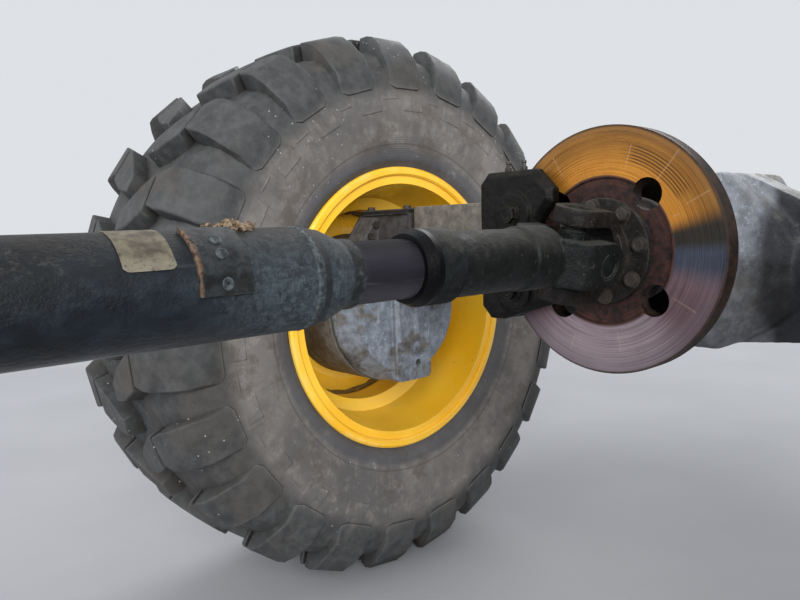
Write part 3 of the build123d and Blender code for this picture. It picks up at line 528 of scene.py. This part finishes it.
def make_seal_rubber():
    """Black wiper lip; the sleeve behind it is as dusty as the yoke's."""
    f = Finish("seal_rubber", specular_ior_level=0.1)
    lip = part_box("seal_ring")[0].x + 0.015
    rough = f.noise(130, 4)
    cloud = f.noise(30, 7, 0.7)
    metal = f.blend(f.noise(70, 6, 0.64), 0.3, 0.7, (16, 18, 19), (30, 33, 35))
    dusty = f.settled(cloud, 2.6, 0.15, 1.05)
    metal = f.over(metal, dusty, 0.8, f.tint(rough, (36, 36, 34), (78, 77, 71)))
    metal = f.over(metal, f.fade(f.noise(260, 4, 0.75), 0.61, 0.68), 0.45, (100, 97, 88))
    behind = f.fade(f.shaken(f.along(0), cloud, 0.004), lip, lip + 0.002)
    f.colour = f.tint(behind, f.tint(rough, (4, 4, 5), (12, 12, 14)), metal)
    f.bump((rough, 0.001, 0.5), (f.noise(380, 3, 0.6), 0.0006, 0.5))
    return f.done(f.plus(0.42, behind, 0.3))


def make_spline_coating():
    """Plum-grey sliding coat, wiped clean by its seal, with faint streaks along the stroke; darkened on top
    as painted shade and lightened underneath as a painted highlight.
    """
    f = Finish("spline_coating", specular_ior_level=0.2)
    streak = f.noise(26, 4, 0.6, f.stretched(0.12, 1, 1))
    fine = f.noise(150, 3, 0.6, f.stretched(0.1, 1, 1))
    f.colour = f.blend(streak, 0.35, 0.65, (26, 25, 31), (42, 40, 49))
    # Painted shade: the top of the coat is laid near black.
    above = f.fade(f.along(2), shaft_z + 0.006, shaft_z + 0.026)
    f.lay((6, 6, 7), above, 0.9)
    # Painted highlight: the underside is lightened.
    f.lay((78, 76, 84), f.fade(f.along(2), shaft_z - 0.004, shaft_z - 0.024), 0.55)
    f.lay((88, 85, 93), f.fade(fine, 0.6, 0.72), 0.3)
    f.lay((70, 68, 68), f.fade(f.plus(f.along(0), f.noise(40, 4), 0.02), -0.595, -0.612), 0.7)
    f.bump((streak, 0.0007, 0.3), (fine, 0.0003, 0.3))
    return f.done(f.plus(f.plus(0.5, fine, 0.12), above, 0.35))


def make_label():
    """A bare, faded sticker: no print is left on it."""
    f = Finish("label_film", specular_ior_level=0.3)
    stain = f.noise(60, 6, 0.7)
    f.colour = f.blend(stain, 0.36, 0.64, (112, 105, 88), (70, 64, 53))
    # Painted shade: the label is lighter towards its lower edge, darker on top.
    f.lay((132, 126, 112), f.fade(f.along(2), shaft_z + 0.026, shaft_z + 0.016), 0.6)
    f.lay((54, 47, 38), f.fade(f.noise(190, 5, 0.75), 0.54, 0.62), 0.6)
    f.bump((stain, 0.0008, 0.5), (f.noise(400, 2), 0.0002, 0.3))
    return f.done(0.55)


def make_grained(name, gloss, grain, start, end, dark, light, depth, strength, roughness, crevice=None):
    """One grain, dark in its hollows and light on its crests."""
    f = Finish(name, specular_ior_level=gloss)
    rough = f.noise(*grain)
    f.colour = f.blend(rough, start, end, dark, light)
    if crevice:
        f.lay(crevice, f.crevices(0.006), 0.8)
    f.bump((rough, depth, strength))
    return f.done(roughness)


dark_forging = make_forging("dark_forging", (12, 14, 14), (26, 28, 28), (68, 67, 62), 0.75)
flange_forging = make_forging("flange_forging", (20, 18, 17), (36, 33, 31), (84, 79, 72), 0.75)
calliper_casting = make_forging("calliper_casting", (4, 4, 3), (12, 11, 9), (52, 48, 41), 0.7)
head = (2, 0.098, 0.08, (60, 53, 48), 0.85)
# Painted shade on the housing: darker beyond 0.062 to 0.1 from z = 0, and on its neck.
low = (2, 0.062, 0.1, (74, 75, 78), 0.7)
neck = (1, 0.098, 0.114, (26, 27, 30), 0.85)
pad = (2, 0.062, 0.05, (124, 118, 110), 0.88)
# Name: paint where clean, two tones of dirt, share that stays clean, dust on top, zones
casting_paints = {
    "case_paint": ((134, 142, 153), (104, 97, 85), (50, 45, 40), 0.48, 0.6, [head]),
    "housing_paint": ((138, 143, 152), (118, 112, 100), (72, 66, 60), 0.56, 0.7, [low, neck]),
    # The beam's near-black tones are painted shade, the beam as it lies in shade.
    "beam_paint": ((28, 29, 32), (38, 35, 32), (16, 15, 15), 0.42, 0.7, [pad]),
    "lid_paint": ((42, 40, 39), (42, 36, 32), (17, 15, 14), 0.36, 0.3),
}
case_paint, housing_paint, beam_paint, lid_paint = (
    make_casting_paint(name, *tones) for name, tones in casting_paints.items()
)
rim_paint = make_rim_paint()
tyre_rubber = make_tyre_rubber()
tube_paint = make_tube_paint()
bolt_steel = make_bolt_steel()
weld = (30, 36, 40), (72, 80, 82), 0.0008, 0.5, 0.62, (22, 22, 22)
weld_metal = make_grained("weld_metal", 0.3, (200, 4, 0.6), 0.34, 0.62, *weld)
earth = (70, 54, 42), (150, 132, 108), 0.0008, 0.6, 0.92
dry_earth = make_grained("dry_earth", 0.2, (320, 4, 0.65), 0.35, 0.65, *earth)
lining = (48, 45, 42), (84, 78, 72), 0.0006, 0.5, 0.85
lining_grain = make_grained("lining", 0.3, (500, 3, 0.6), 0.35, 0.65, *lining)

# Finish of a CAD node, or of each one whose name adds a last word; the others are dark forgings
finish_of = {
    "centre_housing": housing_paint,
    "housing_cover": housing_paint,
    "pinion_nose": housing_paint,
    "axle_beam": beam_paint,
    "drop_case": case_paint,
    "case_lid": lid_paint,
    "drop_cover": case_paint,
    "hub": make_hub_paint(),
    "rim": rim_paint,
    "tyre": tyre_rubber,
    "brake_disc": make_disc_iron(),
    "companion_flange": flange_forging,
    "flange_bolts": bolt_steel,
    "near_flange_yoke": flange_forging,
    "seal_ring": make_seal_rubber(),
    "spline_sleeve": make_spline_coating(),
    "tube_neck": tube_paint,
    "main_tube": tube_paint,
    "balance_plate": make_plate_paint(),
    "calliper_body": calliper_casting,
    "calliper_bracket": calliper_casting,
    "brake_lining": lining_grain,
}
for name, node in frame["nodes"].items():
    stem = name.rsplit("_", 1)[0]
    node.data.materials.clear()
    node.data.materials.append(finish_of.get(name) or finish_of.get(stem, dark_forging))


# Pieces
def piece_from(mesh, name, body, material, slot, smooth_angle=35.0):
    """Turn a bmesh into an object that rides on a body; faces are smooth below the angle."""
    bmesh.ops.remove_doubles(mesh, verts=mesh.verts, dist=1e-6)
    bmesh.ops.recalc_face_normals(mesh, faces=mesh.faces)
    data = bpy.data.meshes.new(name)
    mesh.to_mesh(data)
    mesh.free()
    data.materials.append(material)
    data.polygons.foreach_set("use_smooth", [True] * len(data.polygons))
    data.set_sharp_from_angle(angle=radians(smooth_angle))
    piece = link(name, data)
    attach(piece, body)
    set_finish(piece, slot)
    return piece


def modify(piece, kind, **settings):
    modifier = piece.modifiers.new(kind.lower(), kind)
    for name, value in settings.items():
        setattr(modifier, name, value)


def apply_modifiers(piece):
    graph = bpy.context.evaluated_depsgraph_get()
    made = bpy.data.meshes.new_from_object(piece.evaluated_get(graph))
    piece.modifiers.clear()
    piece.data = made


def spokes(axis):
    """Function that gives the direction square to an axis at an angle round it."""
    side = axis.orthogonal().normalized()
    other = axis.cross(side)
    return lambda angle: side * cos(angle) + other * sin(angle)


def join_rings(mesh, rings, closed=False):
    """Add the faces between each ring of corners and the next; an open row gets both its ends."""
    for here, there in zip(rings, rings[1:] + rings[:1] if closed else rings[1:]):
        for place in range(len(here)):
            following = (place + 1) % len(here)
            mesh.faces.new((here[place], here[following], there[following], there[place]))
    if not closed:
        mesh.faces.new(rings[0])
        mesh.faces.new(rings[-1][::-1])


def turned_ring(mesh, profile, centre, axis, segments, start=0.0, sweep=2 * pi):
    """Add a closed (along, radius) profile turned round an axis; an open sweep gets flat ends."""
    out_at = spokes(axis)
    whole = sweep == 2 * pi
    rings = []
    for step in range(segments + (0 if whole else 1)):
        out = out_at(start + sweep * step / segments)
        rings.append([mesh.verts.new(centre + axis * along + out * radius) for along, radius in profile])
    join_rings(mesh, rings, whole)


def add_bolt_head(mesh, seat, axis, size, turn=0.0, washer=1.25):
    """Hexagon head with a chamfered crown on a washer; size is half its width over the corners."""
    axis = axis.normalized()
    out_at = spokes(axis)
    start = 0.0
    if washer:
        reach = washer * size
        turned_ring(mesh, [(0, 0), (0, reach), (0.16 * size, reach), (0.16 * size, 0)], seat, axis, 20)
        start = 0.15 * size
    levels = ((start, 1.0), (0.72 * size, 1.0), (0.86 * size, 0.9), (0.88 * size, 0.55), (0.82 * size, 0.5))
    rings = []
    for height, share in levels:
        ring = []
        for corner in range(12):
            reach = size * share * (1.0 if corner % 2 == 0 else (0.87 if share > 0.95 else 0.98))
            ring.append(mesh.verts.new(seat + axis * height + out_at(turn + pi * corner / 6) * reach))
        rings.append(ring)
    join_rings(mesh, rings)


def bolt_group(name, body, places, axis, size, washer=1.25):
    """Like bolts on one face as one mesh, each turned its own way."""
    mesh = bmesh.new()
    for place in places:
        add_bolt_head(mesh, Vector(place), axis, size, picks.uniform(0, pi / 3), washer)
    return piece_from(mesh, name, body, bolt_steel, "bolt_steel")


def turned_group(name, body, profile, places, segments):
    """Like turned parts as one mesh, each given by its foot and the way that it points."""
    mesh = bmesh.new()
    for foot, axis in places:
        turned_ring(mesh, profile, foot, axis.normalized(), segments)
    return piece_from(mesh, name, body, bolt_steel, "bolt_steel")


def circle_places(centre, axis, radius, count, start=0.0):
    out_at = spokes(axis)
    return [centre + out_at(start + 2 * pi * number / count) * radius for number in range(count)]


def weld_bead(name, body, centre, axis, radius, width, height, ripples, material, slot):
    """A closed weld round an axis, humped by its ripples."""
    mesh = bmesh.new()
    out_at = spokes(axis)
    steps = ripples * 6
    section = 10
    rings = []
    for step in range(steps):
        angle = 2 * pi * step / steps
        out = out_at(angle)
        swell = 1 + 0.22 * sin(ripples * angle) + picks.uniform(-0.06, 0.06)
        ring = []
        for part in range(section):
            around = 2 * pi * part / section
            lift = height * swell * sin(around)
            ring.append(mesh.verts.new(centre + axis * (width * cos(around)) + out * (radius + lift)))
        rings.append(ring)
    join_rings(mesh, rings, closed=True)
    return piece_from(mesh, name, body, material, slot, 60)


# Castings and forgings: the CAD's own forms with rounded edges and a slightly uneven skin
slot_of = {entry["node"]: entry["material_slot"] for entry in frame["record"]["subparts"]}
body_of = {node: body for body, nodes in frame["record"]["behaviour"]["bodies"].items() for node in nodes}
# Node, or its name without left and right: voxel in metres, smoothing passes, unevenness in metres
cast_skins = {
    "slip_yoke": (0.001, 9, 0.0006),
    "near_flange_yoke": (0.001, 7, 0.0005),
    "tube_yoke": (0.001, 7, 0.0004),
    "far_flange_yoke": (0.001, 3, 0.0),
    "calliper_body": (0.0013, 5, 0.0012),
    "calliper_bracket": (0.0013, 4, 0.0008),
    "pinion_nose": (0.0015, 3, 0.0006),
    "centre_housing": (0.0028, 4, 0.0012),
    "housing_cover": (0.0018, 3, 0.0006),
    "axle_beam": (0.0022, 3, 0.001),
    "drop_case": (0.0018, 2, 0.0008),
    "case_lid": (0.0015, 4, 0.0006),
    "drop_cover": (0.0022, 3, 0.0008),
}


def cast_skin(node, voxel, passes, unevenness, clouds):
    """Replace one casting by its own form, voxel-rounded, roughened and thinned out again."""
    solid = frame["nodes"][node].data
    piece = link(f"cast_{node}", solid.copy())
    modify(piece, "WELD", merge_threshold=1e-6)
    modify(piece, "REMESH", mode="VOXEL", voxel_size=voxel)
    modify(piece, "SMOOTH", factor=0.5, iterations=passes)
    if unevenness:
        modify(piece, "DISPLACE", texture=clouds, strength=unevenness, mid_level=0.55)
    modify(piece, "DECIMATE", ratio=0.25)
    apply_modifiers(piece)
    piece.data.materials.clear()
    piece.data.materials.append(solid.materials[0])
    piece.data.polygons.foreach_set("use_smooth", [True] * len(piece.data.polygons))
    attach(piece, body_of[node])
    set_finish(piece, slot_of[node])
    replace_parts(piece, node)


def cast_all():
    clouds = bpy.data.textures.new("cast_clouds", "CLOUDS")
    clouds.noise_scale = 0.012
    clouds.noise_depth = 3
    for name, skin in cast_skins.items():
        for node in [name] if name in frame["nodes"] else [f"{name}_left", f"{name}_right"]:
            cast_skin(node, *skin, clouds)


cast_all()


def in_metres(*rows):
    """A table whose rows are in millimetres."""
    return [tuple(millimetres / 1000 for millimetres in row) for row in rows]


# Tyres: rounded carcass with rim guard, lugs with worn corners, and the bars down the shoulders
seat_radius = rim_radius - 0.027
# Across from the wheel's middle, height over the rim's seat
wall_profile = in_metres(
    (165.5, 0), (166, 20), (172, 31), (179, 36), (183, 42), (185, 50), (185, 56), (186.5, 60),
    (190.5, 74), (195.5, 92), (199.5, 112), (201, 135), (200, 158), (196, 180), (189, 200), (179, 219),
    (166, 235), (145, 245), (115, 250), (60, 252), (0, 252),
)
lining_profile = in_metres((0, 232), (120, 228), (160, 190), (180, 150), (178, 104), (140, 24), (132, -7))
# Lug stations: across, half width along the tread, drift of its middle along the tread,
# height of the top, height of the root
shoulder_stations = in_metres(
    (103.5, 33, 12, 281.5, 246), (130, 36, 9, 279.5, 244), (148, 37.5, 8, 274.5, 240),
    (168, 39, 7, 256, 226), (186, 40, 6.5, 232, 196), (196, 37, 6, 210, 178), (200.5, 30, 6, 190, 170),
)
centre_stations = in_metres(
    (6, 25, 64, 281.5, 248), (40, 29, 47, 282, 248), (70, 32, 30, 282, 247), (92.5, 33, 17, 281.5, 246),
)
lug_count = 23
wall_lean = 0.004
bar_root = -0.004


def on_wheel(angle, rise, along, across):
    """Point at an angle from the left wheel's top: how far out, along its tread and across it."""
    radial = x_axis * sin(angle) + z_axis * cos(angle)
    tangent = x_axis * cos(angle) - z_axis * sin(angle)
    return wheel_middle + radial * rise + tangent * along + y_axis * across


def add_lug(mesh, stations, angle, hand, first_trim, last_trim):
    """One block: stations run across the tread, and its walls lean out towards its root."""
    trims = [first_trim] + [0.0] * (len(stations) - 2) + [last_trim]
    rings = []
    for (across, half, drift, top, root), trim in zip(stations, trims):
        corners = []
        for side, height in ((-1, root), (-1, top), (1, top), (1, root)):
            lean = wall_lean if height == root else 0.0
            along = -drift + side * (half - trim + lean)
            radius = seat_radius + height
            rise = sqrt(radius * radius - along * along)
            corners.append(mesh.verts.new(on_wheel(angle, rise, along, hand * across)))
        rings.append(corners)
    join_rings(mesh, rings)


def add_bar(mesh, angle, hand, width, low, high, proud):
    """A shallow raised patch down the sidewall below a lug."""
    rings = []
    for height in (low, (low + high) / 2, high):
        wall = 0.2008 - 9.5 * (height - 0.14) ** 2
        ring = []
        for side, out in ((-1, bar_root), (-1, proud), (1, proud), (1, bar_root)):
            spot = on_wheel(angle, seat_radius + height, side * width / 2, hand * (wall + out))
            ring.append(mesh.verts.new(spot))
        rings.append(ring)
    join_rings(mesh, rings)


def mirrored(piece, name, body):
    """Copy of a piece mirrored to the other side of the axle."""
    data = piece.data.copy()
    data.transform(Matrix.Scale(-1, 4, y_axis))
    data.flip_normals()
    copy = link(name, data)
    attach(copy, body)
    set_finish(copy, piece["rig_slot"])
    return copy


def make_tyres():
    outline = [(-across, height) for across, height in wall_profile]
    outline += wall_profile[-2::-1] + lining_profile[::-1]
    outline += [(-across, height) for across, height in lining_profile[1:]]
    outline = [(across, seat_radius + height) for across, height in outline]
    mesh = bmesh.new()
    turned_ring(mesh, outline, wheel_middle, y_axis, 160)
    carcass = piece_from(mesh, "tyre_carcass_left", "wheel_left", tyre_rubber, "tyre_rubber", 40)
    mesh = bmesh.new()
    pitch = 2 * pi / lug_count
    for number in range(lug_count):
        for hand in (1, -1):
            angle = pitch * (number + (0.5 if hand == 1 else 0.0))
            add_lug(mesh, shoulder_stations, angle, hand, 0.006, 0.006)
            add_lug(mesh, centre_stations, angle, hand, 0.008, 0.0)
            add_bar(mesh, angle + 0.022, hand, 0.052, 0.128, 0.186, 0.0028)
            add_bar(mesh, angle + pitch / 2 + 0.015, hand, 0.034, 0.15, 0.188, 0.0022)
    lugs = piece_from(mesh, "tyre_lugs_left", "wheel_left", tyre_rubber, "tyre_rubber")
    modify(lugs, "BEVEL", width=0.003, segments=2, limit_method="ANGLE", angle_limit=radians(25))
    apply_modifiers(lugs)
    for piece, name in ((carcass, "tyre_carcass_right"), (lugs, "tyre_lugs_right")):
        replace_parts(piece, "tyre_left")
        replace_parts(mirrored(piece, name, "wheel_right"), "tyre_right")


make_tyres()


# Tube: label, spot welds of the balance plate, weld beads and caked earth
def on_tube(x, degrees, lift=0.0):
    """Point on the tube's skin, its angle taken from -Y towards +Z."""
    angle = radians(degrees)
    reach = tube_radius + lift
    return Vector((x, -reach * cos(angle), shaft_z + reach * sin(angle)))


def make_label_patch():
    """Thin curved sheet with rounded corners and a lifted edge."""
    mesh = bmesh.new()
    start, end = -0.795, -0.763
    low, high = 22.0, 92.0
    columns, rows = 14, 30

    def corner(column, row, lift):
        u, v = column / columns, row / rows
        pinch = 3.5 * max(0.0, abs(2 * u - 1) - 0.75) ** 2 * 16
        angle = low + pinch + (high - low - 2 * pinch) * v
        curl = 0.0006 * max(0.0, 1 - 6 * v) * u
        return mesh.verts.new(on_tube(start + (end - start) * u, angle, lift + curl))

    def sheet(lift):
        return [[corner(c, r, lift) for r in range(rows + 1)] for c in range(columns + 1)]

    under, over = sheet(0.0001), sheet(0.0006)
    for c in range(columns):
        for r in range(rows):
            for grid, order in ((under, 1), (over, -1)):
                quad = (grid[c][r], grid[c + 1][r], grid[c + 1][r + 1], grid[c][r + 1])
                mesh.faces.new(quad[::order])
    border = [(c, 0) for c in range(columns)] + [(columns, r) for r in range(rows)]
    border += [(c, rows) for c in range(columns, 0, -1)] + [(0, r) for r in range(rows, 0, -1)]
    for (c, r), (next_c, next_r) in zip(border, border[1:] + border[:1]):
        mesh.faces.new((under[c][r], under[next_c][next_r], over[next_c][next_r], over[c][r]))
    piece_from(mesh, "tube_label", "sliding_shaft", make_label(), "tube_paint", 60)


make_label_patch()


def make_plate_dimples():
    """Spot welds that hold the balance plate: shallow rings with a sunk middle."""
    profile = in_metres((-1, 0), (-1, 4.2), (0.2, 4.2), (0.7, 3.4), (0.3, 2.2), (-0.2, 0))
    plate_lift = 0.003
    mesh = bmesh.new()
    for degrees in (49.0, 33.0, 5.0):
        angle = radians(degrees)
        out = Vector((0, -cos(angle), sin(angle)))
        turned_ring(mesh, profile, on_tube(-0.733, degrees, plate_lift), out, 20)
    piece_from(mesh, "plate_spot_welds", "sliding_shaft", weld_metal, "tube_paint", 50)


make_plate_dimples()

bead_radius = tube_radius - 0.0012
for number, x in enumerate((tube_high.x, tube_low.x), 1):
    seat = Vector((x, 0, shaft_z))
    name = f"tube_weld_{number}"
    weld_bead(name, "sliding_shaft", seat, x_axis, bead_radius, 0.0032, 0.0016, 44, weld_metal, "tube_paint")


def add_crumb(mesh, centre, size):
    """One lump of earth: a small icosphere pushed about at random."""
    angle = picks.uniform(0, 2 * pi)
    turn = Matrix.Rotation(angle, 3, Vector((picks.random(), picks.random(), 1)).normalized())
    made = bmesh.ops.create_icosphere(mesh, subdivisions=2, radius=1.0)
    stretch = Vector((picks.uniform(0.8, 1.6), picks.uniform(0.6, 1.1), picks.uniform(0.5, 0.9))) * size
    for vert in made["verts"]:
        jitter = 1 + picks.uniform(-0.18, 0.18)
        vert.co = centre + turn @ (vert.co * stretch * jitter)


def make_tube_debris():
    mesh = bmesh.new()
    for _ in range(38):
        x = picks.gauss(-0.708, 0.007)
        degrees = picks.gauss(84, 8)
        add_crumb(mesh, on_tube(x, degrees, picks.uniform(0.0, 0.004)), picks.uniform(0.0012, 0.0036))
    piece_from(mesh, "tube_debris", "sliding_shaft", dry_earth, "tube_paint", 30)


make_tube_debris()


# Bolts, nuts and plugs
half_shaft_z = shaft_z - 0.036
beam_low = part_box("axle_beam_left")[0]
beam_flange = 0.016
cover_low, cover_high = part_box("housing_cover")
cover_seat = Vector((cover_low.x + 0.014, 0, (cover_low.z + cover_high.z) / 2))
nose_seat = Vector((-0.1465, 0, shaft_z))
lid_low, lid_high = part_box("case_lid_left")
apron_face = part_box("drop_case_left")[1].y - 0.044
# Bolts on the apron: beside the case's middle, height
apron_bolts = [(0.079, -0.03), (0.0915, -0.051), (0.108, -0.077), (0.126, -0.118)]
nut_seat = Vector((0, wheel_middle.y + 0.026, wheel_middle.z))
hub_face = Vector((0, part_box("hub_left")[1].y, wheel_middle.z))
weld_seat = Vector((0, wheel_middle.y + 0.0295, wheel_middle.z))
stud_circle = 0.1375
valve_profile = in_metres(
    (-4, 0), (-4, 8.5), (3, 8.5), (5, 5), (24, 4.2), (25, 5.5), (36, 5.2), (38, 3), (38, 0),
)


def make_valve():
    """Straight valve stem with its cap, through the rim's outboard slope."""
    angle = radians(38)
    out = x_axis * cos(angle) + z_axis * sin(angle)
    foot = wheel_middle + out * 0.2135 + y_axis * 0.0865
    return turned_group("valve_left", "wheel_left", valve_profile, [(foot, y_axis * 0.94 - out * 0.34)], 18)


def add_fittings():
    places = circle_places(cover_seat, x_axis, 0.093, 12, pi / 12)
    bolt_group("cover_bolts", "axle", places, x_axis, 0.0062, 0)
    places = circle_places(nose_seat, x_axis, 0.075, 8, pi / 8)
    bolt_group("nose_bolts", "axle", places, -x_axis, 0.0085)
    for hand, word in ((1, "left"), (-1, "right")):
        for side, name in ((1, "outer"), (-1, "inner")):
            face = hand * (beam_low.y + side * beam_flange)
            places = []
            for degrees in (0, 40, 140, 180, 220, 320):
                angle = radians(degrees)
                places.append((0.065 * cos(angle), face, half_shaft_z + 0.065 * sin(angle)))
            bolt_group(f"beam_bolts_{name}_{word}", "axle", places, y_axis * (hand * side), 0.0085)
        rows = (lid_low.y + 0.016, lid_high.y - 0.016)
        places = [(x, hand * y, lid_high.z) for x in (-0.062, 0.062) for y in rows]
        bolt_group(f"lid_bolts_{word}", "axle", places, z_axis, 0.007)
        places = [(side * x, hand * apron_face, z) for side in (-1, 1) for x, z in apron_bolts]
        bolt_group(f"apron_bolts_{word}", "axle", places, y_axis * -hand, 0.007, 0)
    wheel = "wheel_left"
    bead = 0.0035, 0.0035
    studs = circle_places(nut_seat, y_axis, stud_circle, 8)
    hub_bolts = circle_places(hub_face, y_axis, 0.066, 8, pi / 8)
    for piece in (
        bolt_group("wheel_nuts_left", wheel, studs, y_axis, 0.0165, 0),
        bolt_group("hub_bolts_left", wheel, hub_bolts, y_axis, 0.0065),
        bolt_group("hub_plug_left", wheel, [hub_face], y_axis, 0.013),
        weld_bead("rim_weld_left", wheel, weld_seat, y_axis, 0.201, *bead, 130, rim_paint, "rim_yellow"),
        make_valve(),
    ):
        mirrored(piece, piece.name.replace("left", "right"), "wheel_right")


add_fittings()


# Brake and joints: plugs and bleed screws, flange bolts, circlips and grease nipples
calliper_low, calliper_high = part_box("calliper_body")
nipple_profile = in_metres(
    (-2, 0), (-2, 4.2), (4.5, 4.2), (5.5, 2.8), (8.5, 2.4), (9.5, 3.2), (12, 2.8), (13, 1.4), (13, 0),
)


def make_flange_bolts():
    """The same bolts as the CAD ones, with washers' edges and chamfered heads."""
    low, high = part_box("flange_bolts")
    clamped = high.x - low.x - 0.014
    mesh = bmesh.new()
    for number in range(8):
        angle = joint_phase + pi / 8 + pi / 4 * number
        y, z = -0.05075 * sin(angle), shaft_z + 0.05075 * cos(angle)
        rear, front = Vector((low.x + 0.007, y, z)), Vector((high.x - 0.007, y, z))
        add_bolt_head(mesh, rear, -x_axis, 0.0079, picks.uniform(0, pi / 3), 1.12)
        add_bolt_head(mesh, front, x_axis, 0.0079, picks.uniform(0, pi / 3), 1.12)
        turned_ring(mesh, [(0, 0), (0, 0.005), (clamped, 0.005), (clamped, 0)], rear, x_axis, 16)
    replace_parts(piece_from(mesh, "clamp_bolts", "pinion", bolt_steel, "bolt_steel"), "flange_bolts")


def add_circlips(name, body, centre, pin):
    """Open spring rings that hold the two cups of one pin in their ears."""
    turns = [2 * pi * corner / 8 for corner in range(8)]
    profile = [(0.0497 + 0.0009 * cos(turn), 0.013 + 0.0013 * sin(turn)) for turn in turns]
    mesh = bmesh.new()
    for side in (pin, -pin):
        turned_ring(mesh, profile, centre, side, 40, picks.uniform(0, 6), radians(312))
    piece_from(mesh, name, body, dark_forging, "bolt_steel")


def add_joint_fittings():
    make_flange_bolts()
    plugs = [(calliper_low.x, 0.1023, shaft_z + side * 0.0456) for side in (-1, 1)]
    plugs = bolt_group("calliper_plugs", "axle", plugs, -x_axis, 0.011)
    plugs.data.materials[0] = calliper_casting
    screws = [(Vector((calliper_low.x + 0.022, y, calliper_high.z)), z_axis) for y in (0.098, 0.122)]
    turned_group("bleed_screws", "axle", nipple_profile, screws, 14)
    add_circlips("circlips_near_flange", "pinion", near_cross, flange_pin)
    add_circlips("circlips_slip", "slip_end", near_cross, slip_pin)
    add_circlips("circlips_tube", "sliding_shaft", far_cross, slip_pin)
    add_circlips("circlips_far_flange", "far_flange", far_cross, flange_pin)
    way = (slip_pin - flange_pin).normalized()
    for name, centre in (("near", near_cross), ("far", far_cross)):
        foot = centre + way * 0.0185
        turned_group(f"nipple_{name}", f"{name}_spider", nipple_profile, [(foot, way)], 14)


add_joint_fittings()


# Stage
bpy.ops.mesh.primitive_plane_add(size=80, location=(0, 0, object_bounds()[0].z))
floor = bpy.context.object
floor.name = "floor"
f = Finish("floor_paint", roughness=0.9)
f.colour = f.blend(f.noise(1.6, 5), 0.3, 0.7, (160, 161, 165), (166, 167, 171))
floor.data.materials.append(f.done())

world = bpy.data.worlds.new("world")
bpy.context.scene.world = world
world.use_nodes = True
tree = world.node_tree
ray = add_node(tree, "LightPath").outputs
clear = ray["Is Camera Ray"]
for way in ("Is Glossy Ray", "Is Transmission Ray"):
    clear = add_node(tree, "Math", {0: clear, 1: ray[way]}, operation="MAXIMUM").outputs[0]
ambient = tree.nodes["Background"]
ambient.inputs["Color"].default_value = (0.92, 0.95, 1.0, 1)
ambient.inputs["Strength"].default_value = 0.58
backdrop = add_node(tree, "Background", {"Color": seen(222, 225, 229), "Strength": 1.0})
choice = add_node(tree, "MixShader", {0: clear, 1: ambient.outputs[0], 2: backdrop.outputs[0]})
feed(tree, tree.nodes["World Output"].inputs["Surface"], choice.outputs[0])
bpy.context.scene.view_settings.view_transform = "Standard"

# Soft lights from afar: name, the way back towards them, how wide they look in degrees, strength
lamps = [
    ("key", (-3.2, -4.6, 1.9), 44, 3.6),
    ("fill", (-4.7, 2.0, 2.3), 44, 0.9),
    ("back", (5.0, 2.0, 3.8), 38, 1.5),
]
for name, way, spread, strength in lamps:
    light = bpy.data.lights.new(name, "SUN")
    light.energy = strength
    light.angle = radians(spread)
    link(name, light).rotation_euler = Vector(way).to_track_quat("Z", "Y").to_euler()
